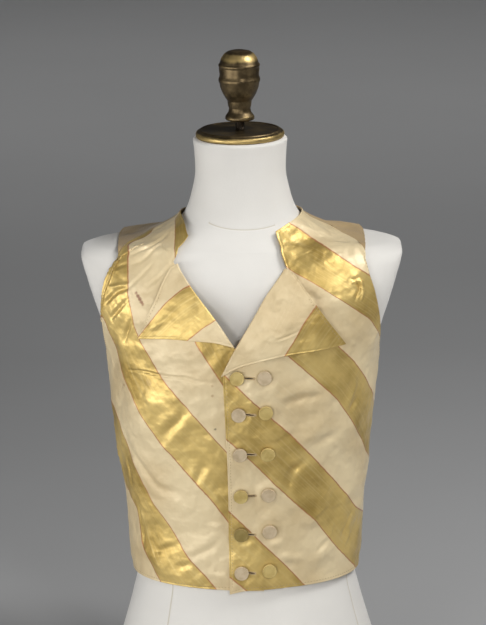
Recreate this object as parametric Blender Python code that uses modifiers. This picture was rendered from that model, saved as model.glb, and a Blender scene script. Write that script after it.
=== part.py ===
"""A waistcoat of diagonally striped satin, worn on a limbless dress form with a turned brass finial.

Metres, +Z up. The front faces -Y, the wearer's left is +X, and the form's flat base lies at Z = 0
round the origin. The form is a loft of level rings. A place on it, and on the cloth over it, is
(turn, up): turn is degrees round the body from the centre front towards the wearer's left, and up
is the distance in millimetres along the form's side outline from its base. A lift is how far a
surface stands off the form, in millimetres.
"""

import math

import bmesh
import bpy
import numpy as np
from mathutils import Matrix, Vector

MM = 0.001
MODEL = "waistcoat_on_dress_form"

# Cloth thicknesses and the gaps between layers, in millimetres.
FRONT_WALL = 2.0
BACK_WALL = 1.5
LAPEL_WALL = 1.6
LAYER_GAP = 0.8
LAPEL_LIFT_AT_EDGE = 2.6
SEAM_GAP = 0.6
PIECE_GAP = 0.3

# Points of a mesh that are nearer than this are one point.
WELD = 0.002

# The small steps, in radians and millimetres, over which the surface's slope is taken.
NUDGE_TURN = 0.001
NUDGE_UP = 0.2

# The cloth hangs this far off the form, and rests on the tops of the shoulders.
EASE = 3.5
SHOULDER_EASE = 0.7
SHOULDER_TURN = 90.0
SHOULDER_HALF_TURN = 8.0
SHOULDER_FADE_TURN = 20.0
SHOULDER_UPS = (580.0, 650.0)
SHOULDER_FADE_UP = 24.0

# The form's chest lies this much further back behind the opening, where the fronts bridge it, round
# this turn and between these places up the body.
CHEST_DEPTH = 14.0
CHEST_TURN = 6.0
CHEST_HALF_TURN = 22.0
CHEST_FADE_TURN = 30.0
CHEST_UPS = (395.0, 452.0)
CHEST_FADE_UP = 85.0

# The form's level rings, in millimetres: squareness is the section's exponent, and arm_bulge is how
# far the full section would reach past the flat face where the arm is cut off.
RING_COLUMNS = ("height", "half_width", "front", "back", "squareness", "arm_bulge")
FORM_RINGS = [
    (0.0, 158.0, 112.0, 116.0, 2.30, 0.0),
    (45.0, 154.0, 110.0, 119.0, 2.30, 0.0),
    (82.0, 144.0, 104.0, 112.0, 2.30, 0.0),
    (120.0, 133.5, 97.0, 100.0, 2.30, 0.0),
    (150.0, 127.5, 93.0, 92.0, 2.30, 0.0),
    (190.0, 130.0, 93.0, 90.0, 2.30, 0.0),
    (231.0, 134.5, 96.0, 92.0, 2.30, 0.0),
    (291.0, 141.0, 103.0, 100.0, 2.30, 0.0),
    (351.0, 147.5, 111.0, 108.0, 2.30, 0.0),
    (411.0, 153.5, 114.0, 113.0, 2.30, 0.0),
    (450.0, 161.0, 112.0, 116.0, 2.30, 5.0),
    (480.0, 170.0, 106.0, 116.0, 2.30, 9.0),
    (505.0, 177.5, 97.0, 112.0, 2.30, 11.0),
    (523.0, 183.0, 86.0, 105.0, 2.30, 11.0),
    (532.0, 185.0, 79.0, 100.0, 2.25, 9.0),
    (537.5, 180.0, 74.5, 95.0, 2.20, 4.0),
    (541.0, 171.0, 71.9, 90.0, 2.15, 1.0),
    (542.5, 160.0, 71.0, 87.0, 2.10, 0.0),
    (544.5, 139.0, 69.4, 83.0, 2.10, 0.0),
    (548.5, 116.0, 66.0, 78.0, 2.10, 0.0),
    (554.0, 102.0, 62.2, 74.5, 2.10, 0.0),
    (562.0, 84.7, 58.4, 70.5, 2.05, 0.0),
    (571.0, 69.5, 55.6, 66.5, 2.00, 0.0),
    (584.0, 61.5, 53.6, 63.0, 2.00, 0.0),
    (600.0, 56.5, 52.8, 60.0, 2.00, 0.0),
    (626.0, 52.0, 53.0, 58.0, 2.00, 0.0),
    (650.0, 53.0, 54.0, 57.0, 2.00, 0.0),
    (660.7, 54.0, 55.0, 55.0, 2.00, 0.0),
    (663.2, 51.8, 52.8, 52.8, 2.00, 0.0),
]
ARM_EDGE_ROUND = 3.0
FORM_AROUND = 40
# How many rows of faces the form has up to each of these distances along its side outline.
FORM_ROWS = [(0, 0), (155, 4), (456, 6), (541, 6), (590, 5), (665, 4), (758, 5)]

# Outlines of the cloth as (turn, up), with the right side's turns counted towards the wearer's right.
# A front's hem runs from the opening to the side seam, and its opening from the hem up to the neck.
HEM_UP = 157.0
LEFT_HEM = [(-11.5, 148), (1.0, 152.8), (37.0, 154.7), (66.0, 156), (97.0, HEM_UP)]
RIGHT_HEM = [(-12.2, 151), (12.0, 152.8), (30.0, 154), (63.0, 156), (97.0, HEM_UP)]
BACK_HEM = (180.0, 154.0)
LEFT_OPENING = {
    "edge": [(-11.5, 148), (-11.5, 211), (-10.8, 266), (-10.5, 326), (-11.0, 381), (-11.5, 417)],
    "break_line": [(-11.5, 417), (-4.0, 447), (5.2, 476), (16.2, 507), (31.0, 533.5)],
    "notch": [(31.0, 533.5), (32.2, 560), (35.2, 647)],
    "neck": [(35.2, 647), (52.8, 660), (68.2, 667), (88, 672)],
}
RIGHT_OPENING = {
    "edge": [(-12.2, 151), (-12.2, 210), (-12.2, 265), (-12.2, 325), (-12.2, 380), (-12.2, 417)],
    "break_line": [(-12.2, 417), (4.2, 447), (16.2, 479), (32.5, 516), (46.0, 541)],
    "notch": [(46.0, 541), (48.5, 575), (50.0, 634)],
    "neck": [(50.0, 634), (60.0, 654), (72.0, 666), (87.0, 672)],
}
SIDE_SEAM = [(97.0, HEM_UP), (97.0, 280.0), (97.0, 402.0)]
LEFT_SHOULDER_SEAM = [(88, 672), (93.5, 655), (93.5, 634), (85, 611), (71.6, 563), (69, 547)]
RIGHT_SHOULDER_SEAM = [(87, 672), (92.5, 655), (92, 634), (84.5, 612), (71.8, 563), (69, 547)]
LEFT_ARMHOLE = [
    (97, 402), (90, 406), (82, 420), (75, 441), (71, 460), (67.2, 484), (65.5, 503),
    (64.8, 520), (65.8, 536), (69, 547),
]  # fmt: skip
RIGHT_ARMHOLE = [
    (97, 402), (90, 406), (82, 421), (75.5, 446), (71.5, 470), (69, 488), (67.2, 506),
    (66.2, 523), (66.8, 538), (69, 547),
]  # fmt: skip
BACK_ARMHOLE = [
    (97, 402), (106, 415), (112, 440), (116, 470), (118.5, 500), (119.5, 520), (118.8, 536),
    (116.5, 549), (110.5, 565), (104, 577), (97.5, 584.8), (91, 589.5),
]  # fmt: skip
SHOULDER_ARMHOLE = [(91, 589.5), (85.5, 586), (79.5, 579), (73.3, 558.5), (69, 547)]
SHOULDER_RIDGE = [(91, 589.5), (97, 616), (100, 643), (99, 669)]
SHOULDER_NECK_END = (99, 669)
BACK_NECK = [(99, 669), (116, 666), (142, 660), (180, 657)]

# Rows of faces along each stretch of a panel, from the hem up, and columns across it.
OPENING_ROWS = {"edge": 10, "break_line": 8, "notch": 6, "neck": 5}
SIDE_ROWS = 8
BACK_ARMHOLE_ROWS = 18
SHOULDER_COLUMNS = 12
BACK_NECK_COLUMNS = 4
SHOULDER_ROWS = 3

# A lapel's fold runs up the break line, its foot runs out from the fold to the point, and its outer
# edge runs up from the point to the notch.
LEFT_LAPEL = {
    "fold": [(-11.5, 417), (-4.0, 447), (5.2, 476), (16.2, 507), (30.5, 532.5)],
    "outer": [(51.8, 447), (44.5, 474), (39.0, 500), (33.5, 530)],
    "foot": [(-11.5, 417), (-1.8, 426.5), (12.0, 434), (22.2, 438), (37.8, 441.5), (51.8, 447)],
    "top": [(30.5, 532.5), (33.5, 530)],
}
RIGHT_LAPEL = {
    "fold": [(5.8, 449.5), (16.2, 479), (32.5, 516), (43.5, 537.5)],
    "outer": [(52.8, 456.5), (48.8, 484), (46.4, 506), (45.6, 534.5)],
    "foot": [(5.8, 449.5), (16.8, 455), (29.2, 457), (38.2, 458), (52.8, 456.5)],
    "top": [(43.5, 537.5), (45.6, 534.5)],
}
LAPEL_COLUMNS = 9
LAPEL_ROWS = 11

# Soft folds in the fronts: (turn, up) of each end, half width and height in millimetres. A fold is
# worked out at points along it, and is low at its ends.
FOLD_POINTS = 9
FOLD_END = 0.25
FOLD_COLUMNS = ("start", "end", "half_width", "height")
LEFT_FOLDS = [
    ((20, 392), (47, 402), 9.0, 1.8),
    ((26, 325), (46, 362), 10.0, 1.6),
    ((50, 285), (46, 235), 8.0, 1.8),
    ((62, 275), (58, 200), 8.0, 2.0),
    ((40, 180), (58, 200), 9.0, 1.5),
    ((56, 500), (64, 470), 8.0, 1.8),
]
RIGHT_FOLDS = [
    ((-66, 480), (-52, 520), 7.0, 2.0),
    ((-69, 455), (-57, 492), 7.0, 1.8),
    ((-64, 535), (-66, 600), 8.0, 1.6),
    ((-86, 330), (-78, 265), 6.0, 2.0),
    ((-72, 200), (-50, 172), 9.0, 1.6),
    ((-30, 190), (-16, 230), 9.0, 1.4),
]

# Overlap of the fronts: the left one stands clear of the right one up to this turn and height.
OVERLAP_TURN = 15.0
OVERLAP_TURN_FADE = 16.0
OVERLAP_TOP = 440.0
OVERLAP_TOP_FADE = 45.0

BUTTON_PROFILE = [(0.0, 4.2), (6.2, 4.0), (8.2, 2.6), (8.0, 0.6), (7.2, 0.0), (0.0, 0.0)]
BUTTON_STEPS = 16
BUTTON_COLUMNS = ("turn", "up", "cover")
FASTENING_BUTTONS = [
    (-3.7, 414, "gold"), (-3.1, 371, "cream"), (-2.8, 323, "cream"),
    (-2.8, 271, "gold"), (-3.0, 223, "gold"), (-3.2, 175, "cream"),
]  # fmt: skip
SHOW_BUTTONS = [
    (11.5, 414, "cream"), (12.2, 373, "gold"), (13.6, 323, "gold"),
    (14.6, 272, "cream"), (15.8, 226, "cream"), (15.8, 177, "gold"),
]  # fmt: skip

# Turned brass pieces: (radius, height) in millimetres, from the top down the outside to the base.
CAP_PROFILE = [
    (0.0, 8.1), (43.2, 8.1), (44.2, 9.0), (46.0, 8.9), (46.8, 7.4), (48.6, 7.0), (50.4, 5.6),
    (51.0, 3.4), (50.6, 1.0), (49.6, 0.0), (0.0, 0.0),
]  # fmt: skip
STUD_PROFILE = [(0.0, 11.0), (5.4, 11.0), (5.4, 0.0), (0.0, 0.0)]
FINIAL_PROFILE = [
    (0.0, 80.6), (8.0, 80.3), (13.0, 79.0), (17.0, 76.4), (20.4, 71.8), (22.4, 65.6), (23.7, 64.4),
    (23.7, 62.4), (23.0, 61.0), (23.3, 58.8), (22.5, 53.0), (22.8, 50.2), (23.9, 47.6), (23.8, 45.0),
    (22.9, 43.2), (21.9, 37.6), (18.9, 30.2), (15.8, 25.0), (14.0, 22.4), (13.4, 17.0), (12.3, 13.4),
    (13.2, 9.0), (16.4, 4.6), (16.9, 1.8), (15.8, 0.0), (0.0, 0.0),
]  # fmt: skip
CAP_STEPS = 36
STUD_STEPS = 16
FINIAL_STEPS = 28

RING = {name: np.array(column, float) for name, column in zip(RING_COLUMNS, zip(*FORM_RINGS))}
RING_UP = np.concatenate(
    [[0.0], np.cumsum(np.hypot(np.diff(RING["height"]), np.diff(RING["half_width"])))]
)


def eased(known, values, at):
    """Values read between known places on a smooth curve that never overshoots them."""
    known, values = np.asarray(known, float), np.asarray(values, float)
    steps = np.diff(known)
    slopes = np.diff(values) / steps
    tangents = np.concatenate([[slopes[0]], np.zeros(len(known) - 2), [slopes[-1]]])
    rising = slopes[:-1] * slopes[1:] > 0
    before, after = 2 * steps[1:] + steps[:-1], steps[1:] + 2 * steps[:-1]
    safe = np.where(rising, slopes[:-1], 1.0), np.where(rising, slopes[1:], 1.0)
    tangents[1:-1] = np.where(rising, (before + after) / (before / safe[0] + after / safe[1]), 0.0)
    cell = np.clip(np.searchsorted(known, at) - 1, 0, len(steps) - 1)
    share = (np.asarray(at, float) - known[cell]) / steps[cell]
    return (
        values[cell] * (2 * share**3 - 3 * share**2 + 1)
        + steps[cell] * tangents[cell] * (share**3 - 2 * share**2 + share)
        + values[cell + 1] * (3 * share**2 - 2 * share**3)
        + steps[cell] * tangents[cell + 1] * (share**3 - share**2)
    )


def fade(value, start, width):
    """0 below start, 1 above start + width, and smooth between."""
    share = np.clip((np.asarray(value, float) - start) / width, 0.0, 1.0)
    return share * share * (3 - 2 * share)


def ring_point(turn, up):
    """The form's own surface, in millimetres: a level section cut flat where an arm would be."""
    size = {name: eased(RING_UP, values, up) for name, values in RING.items()}
    across, forward = np.sin(turn), np.cos(turn)
    depth = np.where(forward > 0, size["front"], size["back"])
    reach = (
        np.abs(across / (size["half_width"] + size["arm_bulge"])) ** size["squareness"]
        + np.abs(forward / depth) ** size["squareness"]
    ) ** (-1 / size["squareness"])
    flat = size["half_width"] / np.maximum(np.abs(across), 1e-3)
    cut = (reach + flat - np.hypot(reach - flat, ARM_EDGE_ROUND)) / 2
    has_arm = fade(size["arm_bulge"], 0.0, 1.0)
    reach = reach + (cut - reach) * has_arm
    return np.stack([reach * across, -reach * forward, size["height"]], axis=-1)


def skin(places, lift=0.0):
    """Points in millimetres at (turn in degrees, up), lifted off the form along its normal."""
    places = np.asarray(places, float)
    turn, up = np.radians(places[..., 0]), places[..., 1]
    low = np.clip(up - NUDGE_UP, 0.0, RING_UP[-1])
    high = np.clip(up + NUDGE_UP, 0.0, RING_UP[-1])
    around = ring_point(turn + NUDGE_TURN, up) - ring_point(turn - NUDGE_TURN, up)
    rise = ring_point(turn, high) - ring_point(turn, low)
    normal = np.cross(around, rise)
    normal /= np.linalg.norm(normal, axis=-1, keepdims=True)
    return ring_point(turn, up) + np.asarray(lift, float)[..., None] * normal


def resampled(points, count):
    """count + 1 places spaced evenly along a smooth line through the given ones."""
    points = np.asarray(points, float)
    apart = np.linalg.norm(np.diff(skin(points), axis=0), axis=1)
    along = np.concatenate([[0.0], np.cumsum(apart)])
    at = np.linspace(0.0, along[-1], count + 1)
    return np.stack([eased(along, points[:, axis], at) for axis in (0, 1)], axis=-1)


def chained(*runs):
    """Several lines joined end to end, with a sharp corner where two meet."""
    return np.concatenate([runs[0]] + [run[1:] for run in runs[1:]])


def patch(bottom, top, first, last):
    """Places filling four edge lines: [column, row], bottom and top run from first to last."""
    across = np.linspace(0, 1, len(bottom))[:, None, None]
    upward = np.linspace(0, 1, len(first))[None, :, None]
    sides = (1 - across) * first[None] + across * last[None]
    ends = (1 - upward) * bottom[:, None] + upward * top[:, None]
    corners = (1 - across) * ((1 - upward) * bottom[0] + upward * top[0]) + across * (
        (1 - upward) * bottom[-1] + upward * top[-1]
    )
    return sides + ends - corners


def mirrored(places):
    """The same places on the wearer's other side."""
    return np.array(places, float) * (-1, 1)


def seam_shift(places, side):
    """Places moved half a seam's gap round the body, forward (side -1) or backward (side 1)."""
    moved = np.array(places, float)
    reach = np.hypot(*skin(moved)[:, :2].T)
    moved[:, 0] += side * np.degrees(SEAM_GAP / 2 / reach)
    return moved


def front_places(hem, opening, armhole, shoulder_seam):
    """A front's grid of places, worked for the wearer's left, from the opening to the side seam."""
    side_seam = seam_shift(SIDE_SEAM, -1)
    shoulder = seam_shift(resampled(shoulder_seam, SHOULDER_COLUMNS), -1)
    inner = chained(*[resampled(opening[name], rows) for name, rows in OPENING_ROWS.items()])
    armhole = [side_seam[-1], *armhole[1:-1], shoulder[-1]]
    outer = chained(
        resampled(side_seam, SIDE_ROWS),
        resampled(armhole, sum(OPENING_ROWS.values()) - SIDE_ROWS),
    )
    return patch(resampled([*hem[:-1], outer[0]], SHOULDER_COLUMNS), shoulder, inner, outer)


def back_places():
    """The back's grid of places, from the left side seam round to the right one, up to the ridges."""
    side_seam = seam_shift(SIDE_SEAM, 1)
    armhole = resampled([side_seam[-1], *BACK_ARMHOLE[1:]], BACK_ARMHOLE_ROWS)
    left = chained(resampled(side_seam, SIDE_ROWS), armhole)
    ridge = resampled(SHOULDER_RIDGE, SHOULDER_COLUMNS)
    half = chained(ridge, resampled(BACK_NECK, BACK_NECK_COLUMNS))
    top = chained(half, across_the_body(half)[::-1])
    right = across_the_body(left)
    hem = resampled([left[0], BACK_HEM, right[0]], len(top) - 1)
    return patch(hem, top, left, right)


def shoulder_places(shoulder_seam):
    """The grid of places of the back's reach over a shoulder, from its ridge to the front's seam."""
    seam = seam_shift(resampled(shoulder_seam, SHOULDER_COLUMNS), 1)[::-1]
    ridge = resampled(SHOULDER_RIDGE, SHOULDER_COLUMNS)
    armhole = resampled([*SHOULDER_ARMHOLE[:-1], seam[0]], SHOULDER_ROWS)
    neck = resampled([SHOULDER_NECK_END, seam[-1]], SHOULDER_ROWS)
    return patch(armhole, neck, ridge, seam)


def across_the_body(places):
    """The same places on the other side of the centre back."""
    return np.array([(360 - turn, up) for turn, up in places])


def lapel_places(lapel):
    """A lapel's grid of places, from its fold across to its outer edge."""
    return patch(
        resampled(lapel["foot"], LAPEL_COLUMNS),
        resampled(lapel["top"], LAPEL_COLUMNS),
        resampled(lapel["fold"], LAPEL_ROWS),
        resampled(lapel["outer"], LAPEL_ROWS),
    )


def fold_height(places, folds):
    """How far the soft folds raise the cloth at each place, in millimetres."""
    points = skin(places)
    total = np.zeros(points.shape[:-1])
    for fold in folds:
        row = dict(zip(FOLD_COLUMNS, fold))
        line = skin(np.linspace(row["start"], row["end"], FOLD_POINTS))
        away = np.linalg.norm(points[..., None, :] - line, axis=-1)
        strength = np.sin(np.linspace(FOLD_END, math.pi - FOLD_END, FOLD_POINTS))
        total = np.maximum(
            total, (row["height"] * strength * np.exp(-((away / row["half_width"]) ** 2))).max(axis=-1)
        )
    return total


def ease(places):
    """How far the cloth's inner face hangs off the form."""
    from_front = 180 - np.abs(np.abs(places[..., 0]) - 180)
    off_top = fade(np.abs(from_front - SHOULDER_TURN), SHOULDER_HALF_TURN, SHOULDER_FADE_TURN)
    below = 1 - fade(places[..., 1], SHOULDER_UPS[0] - SHOULDER_FADE_UP, SHOULDER_FADE_UP)
    above = fade(places[..., 1], SHOULDER_UPS[1], SHOULDER_FADE_UP)
    resting = (1 - off_top) * (1 - below) * (1 - above)
    return EASE + (SHOULDER_EASE - EASE) * resting


def overlap_rise(places):
    """How far the left front stands out to clear the right one beneath it."""
    across = 1 - fade(places[..., 0], OVERLAP_TURN, OVERLAP_TURN_FADE)
    upward = 1 - fade(places[..., 1], OVERLAP_TOP, OVERLAP_TOP_FADE)
    return (FRONT_WALL + LAYER_GAP) * across * upward


def left_front_lift(places):
    """Lift of the left front's outer face."""
    return ease(places) + FRONT_WALL + overlap_rise(places) + fold_height(places, LEFT_FOLDS)


def right_front_lift(places):
    """Lift of the right front's outer face."""
    return ease(places) + FRONT_WALL + fold_height(places, RIGHT_FOLDS)


def back_lift(places):
    """Lift of the back's outer face."""
    return ease(places) + BACK_WALL


def lapel_rise():
    """How far a lapel's outer face stands off the front below it: it lifts towards its free edge."""
    across = np.linspace(0, 1, LAPEL_COLUMNS + 1)[:, None]
    up_from_foot = np.linspace(0, 1, LAPEL_ROWS + 1)[None, :]
    free = across**2 * (1 - fade(up_from_foot, 0.55, 0.45))
    return LAYER_GAP + LAPEL_WALL + LAPEL_LIFT_AT_EDGE * free


def material(name, colour, roughness, metallic=0.0):
    """A plain finish with the piece's colour."""
    made = bpy.data.materials.new(name)
    made.use_nodes = True
    shader = made.node_tree.nodes["Principled BSDF"]
    shader.inputs["Base Color"].default_value = (*colour, 1.0)
    shader.inputs["Roughness"].default_value = roughness
    shader.inputs["Metallic"].default_value = metallic
    return made


def placed(name, mesh, finish):
    """A named object in the model's collection."""
    obj = bpy.data.objects.new(name, mesh)
    bpy.data.collections[MODEL].objects.link(obj)
    mesh.materials.append(finish)
    mesh.shade_smooth()
    return obj


def add_grid(sheet, points):
    """Adds a sheet of faces through points [column, row], in metres, facing column x row."""
    columns, rows = points.shape[0] - 1, points.shape[1] - 1
    grid = bmesh.ops.create_grid(sheet, x_segments=columns, y_segments=rows, size=0.5)
    for vertex in grid["verts"]:
        column = round((vertex.co.x + 0.5) * columns)
        row = round((vertex.co.y + 0.5) * rows)
        vertex.co = Vector(points[column, row])


def cloth(name, sheets, wall, finish):
    """A panel of cloth: a wall behind the outer face that the sheets' points make together."""
    panel = bmesh.new()
    for points in sheets:
        add_grid(panel, points * MM)
    bmesh.ops.remove_doubles(panel, verts=panel.verts, dist=WELD * MM)
    mesh = bpy.data.meshes.new(name)
    panel.to_mesh(mesh)
    panel.free()
    obj = placed(name, mesh, finish)
    shell = obj.modifiers.new("wall", "SOLIDIFY")
    shell.thickness = wall * MM
    shell.offset = -1.0
    return obj


def turned(name, profile, steps, finish, where):
    """A turned piece: its profile, in millimetres, swept round the local Z axis."""
    outline = bpy.data.meshes.new(name)
    corners = [(radius * MM, 0.0, height * MM) for radius, height in profile]
    outline.from_pydata(corners, [(i, i + 1) for i in range(len(corners) - 1)], [])
    obj = placed(name, outline, finish)
    obj.matrix_world = where
    sweep = obj.modifiers.new("sweep", "SCREW")
    sweep.steps = sweep.render_steps = steps
    sweep.use_merge_vertices = True
    sweep.merge_threshold = 1e-5
    return obj


def chest_set_back(places):
    """How far the form's own surface lies behind its even shape, at the chest behind the opening."""
    beside = fade(np.abs(places[..., 0] - CHEST_TURN), CHEST_HALF_TURN, CHEST_FADE_TURN)
    below = 1 - fade(places[..., 1], CHEST_UPS[0] - CHEST_FADE_UP, CHEST_FADE_UP)
    above = fade(places[..., 1], CHEST_UPS[1], CHEST_FADE_UP)
    return CHEST_DEPTH * (1 - beside) * (1 - below) * (1 - above)


def form_rows():
    """The heights up the side outline at which the form's mesh has a ring."""
    rows = [0.0]
    for (low, _), (high, count) in zip(FORM_ROWS, FORM_ROWS[1:]):
        rows += [low + (high - low) * (i + 1) / count for i in range(count)]
    return np.array(rows + [RING_UP[-1]])


def form_body(rows, finish):
    """The padded torso and neck, closed by a flat base and a flat neck top."""
    turns = np.linspace(-180, 180, FORM_AROUND + 1)
    places = np.stack(np.meshgrid(turns, rows, indexing="ij"), axis=-1)
    body = bmesh.new()
    add_grid(body, skin(places, -chest_set_back(places)) * MM)
    bmesh.ops.remove_doubles(body, verts=body.verts, dist=WELD * MM)
    bmesh.ops.holes_fill(body, edges=[edge for edge in body.edges if edge.is_boundary])
    mesh = bpy.data.meshes.new("form_body")
    body.to_mesh(mesh)
    body.free()
    return placed("form_body", mesh, finish)


def button_seat(turn, up):
    """The frame on the left front's outer face at (turn, up), its Z axis pointing out."""
    place = np.array([turn, up])
    lift = left_front_lift(place) + PIECE_GAP
    centre = skin(place, lift)
    out = Vector(skin(place, lift + 1.0) - centre).normalized()
    down = Vector((0.0, 0.0, -1.0))
    side = out.cross(down).normalized()
    frame = Matrix((side, out.cross(side), out)).transposed().to_4x4()
    return Matrix.Translation(Vector(centre * MM)) @ frame


def main():
    for obj in list(bpy.data.objects):
        bpy.data.objects.remove(obj)
    bpy.context.scene.collection.children.link(bpy.data.collections.new(MODEL))

    striped = material("striped_satin", (0.72, 0.58, 0.30), 0.38)
    covers = {
        "gold": material("gold_satin", (0.62, 0.47, 0.16), 0.35),
        "cream": material("cream_satin", (0.76, 0.66, 0.48), 0.38),
    }
    tan = material("tan_cotton", (0.60, 0.45, 0.31), 0.85)
    jersey = material("white_jersey", (0.82, 0.81, 0.79), 0.9)
    brass = material("aged_brass", (0.30, 0.22, 0.10), 0.42, 0.9)
    steel = material("dark_steel", (0.16, 0.15, 0.14), 0.45, 0.9)

    form_body(form_rows(), jersey)
    foot = RING["height"][-1] + PIECE_GAP
    for name, profile, steps, finish in (
        ("neck_cap", CAP_PROFILE, CAP_STEPS, brass),
        ("cap_stud", STUD_PROFILE, STUD_STEPS, steel),
        ("finial", FINIAL_PROFILE, FINIAL_STEPS, brass),
    ):
        turned(name, profile, steps, finish, Matrix.Translation((0, 0, foot * MM)))
        foot += profile[0][1] + PIECE_GAP

    left = front_places(LEFT_HEM, LEFT_OPENING, LEFT_ARMHOLE, LEFT_SHOULDER_SEAM)
    right = front_places(RIGHT_HEM, RIGHT_OPENING, RIGHT_ARMHOLE, RIGHT_SHOULDER_SEAM)
    right = mirrored(right)[::-1]
    cloth("front_left", [skin(left, left_front_lift(left))], FRONT_WALL, striped)
    cloth("front_right", [skin(right, right_front_lift(right))], FRONT_WALL, striped)
    back = back_places()
    left_shoulder = shoulder_places(LEFT_SHOULDER_SEAM)[::-1]
    right_shoulder = mirrored(shoulder_places(RIGHT_SHOULDER_SEAM))
    backs = [
        skin(places, back_lift(places)) for places in (back, left_shoulder, right_shoulder)
    ]
    cloth("back", backs, BACK_WALL, tan)

    left = lapel_places(LEFT_LAPEL)
    right = mirrored(lapel_places(RIGHT_LAPEL))
    cloth("lapel_left", [skin(left, left_front_lift(left) + lapel_rise())], LAPEL_WALL, striped)
    right = skin(right, right_front_lift(right) + lapel_rise())[::-1]
    cloth("lapel_right", [right], LAPEL_WALL, striped)

    for name, buttons in (("fastening_button", FASTENING_BUTTONS), ("show_button", SHOW_BUTTONS)):
        for number, values in enumerate(buttons, 1):
            button = dict(zip(BUTTON_COLUMNS, values))
            seat = button_seat(button["turn"], button["up"])
            turned(f"{name}_{number}", BUTTON_PROFILE, BUTTON_STEPS, covers[button["cover"]], seat)


main()
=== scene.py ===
import math

import bmesh
import bpy
import numpy as np
from mathutils import Matrix, Vector, kdtree, noise
from mathutils.bvhtree import BVHTree


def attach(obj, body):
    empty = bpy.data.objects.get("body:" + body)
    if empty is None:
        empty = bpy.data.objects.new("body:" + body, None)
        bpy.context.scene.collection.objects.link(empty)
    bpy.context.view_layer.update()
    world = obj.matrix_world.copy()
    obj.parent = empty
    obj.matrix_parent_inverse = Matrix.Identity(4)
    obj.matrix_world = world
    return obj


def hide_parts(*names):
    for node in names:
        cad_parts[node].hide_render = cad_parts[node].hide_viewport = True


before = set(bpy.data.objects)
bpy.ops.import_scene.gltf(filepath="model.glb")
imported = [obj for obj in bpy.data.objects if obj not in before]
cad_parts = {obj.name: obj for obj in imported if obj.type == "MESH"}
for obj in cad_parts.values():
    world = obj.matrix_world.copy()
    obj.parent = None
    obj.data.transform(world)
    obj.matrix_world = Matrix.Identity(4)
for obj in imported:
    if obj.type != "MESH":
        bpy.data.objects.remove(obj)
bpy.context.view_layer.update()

# The looks of a waistcoat of diagonally striped satin on a limbless dress form. Metres in the scene,
# and millimetres in the tables. A place on the body is (turn, up): turn is degrees round from the
# centre front towards the wearer's left, up is millimetres along the form's side outline from its
# base, and a lift is how far a surface stands off the form. Pixel places are read from the picture.

MM = 0.001
for thing in bpy.context.selected_objects:
    thing.select_set(False)

# The picture: its size in pixels, how much of the object one pixel shows, and where it was taken from.
PICTURE = (486, 625)
PIXEL_MM = 1.16
CAMERA_DISTANCE = 4200.0
CAMERA_ELEVATION = math.radians(14.0)
CAMERA_ROLL = math.radians(0.8)
CAMERA_AIM = np.array([0.5, 0.0, 455.4])
SENSOR_MM = 36.0
# How the place that shows at a pixel is found: a coarse net of places, then steps towards it.
SEARCH_TURNS, SEARCH_UPS = np.linspace(-100, 100, 81), np.linspace(140, 690, 111)
SEARCH_STEP, SEARCH_REACH, SEARCH_ROUNDS = (0.1, 0.2), 4, 8

# Cloth thicknesses and gaps between layers, as in the plain solids, and the thinner visible walls.
FRONT_WALL = 2.0
BACK_WALL = 1.5
LAPEL_WALL = 1.6
LAYER_GAP = 0.8
LAPEL_LIFT_AT_EDGE = 2.6
SEAM_GAP = 0.6
PIECE_GAP = 0.3
SHOWN_WALL = 1.3
SHOWN_BACK_WALL = 1.1
SHOWN_LAPEL_WALL = 1.2
WELD = 0.002
NUDGE_TURN = 0.001
NUDGE_UP = 0.2
EASE = 3.5
SHOULDER_EASE = 0.7
SHOULDER_TURN = 90.0
SHOULDER_HALF_TURN = 8.0
SHOULDER_FADE_TURN = 20.0
SHOULDER_UPS = (580.0, 650.0)
SHOULDER_FADE_UP = 24.0

# The form's chest lies this much further back behind the opening, where the fronts bridge it, round
# this turn and between these places up the body.
CHEST_DEPTH = 14.0
CHEST_TURN = 6.0
CHEST_HALF_TURN = 22.0
CHEST_FADE_TURN = 30.0
CHEST_UPS = (395.0, 452.0)
CHEST_FADE_UP = 85.0

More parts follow.
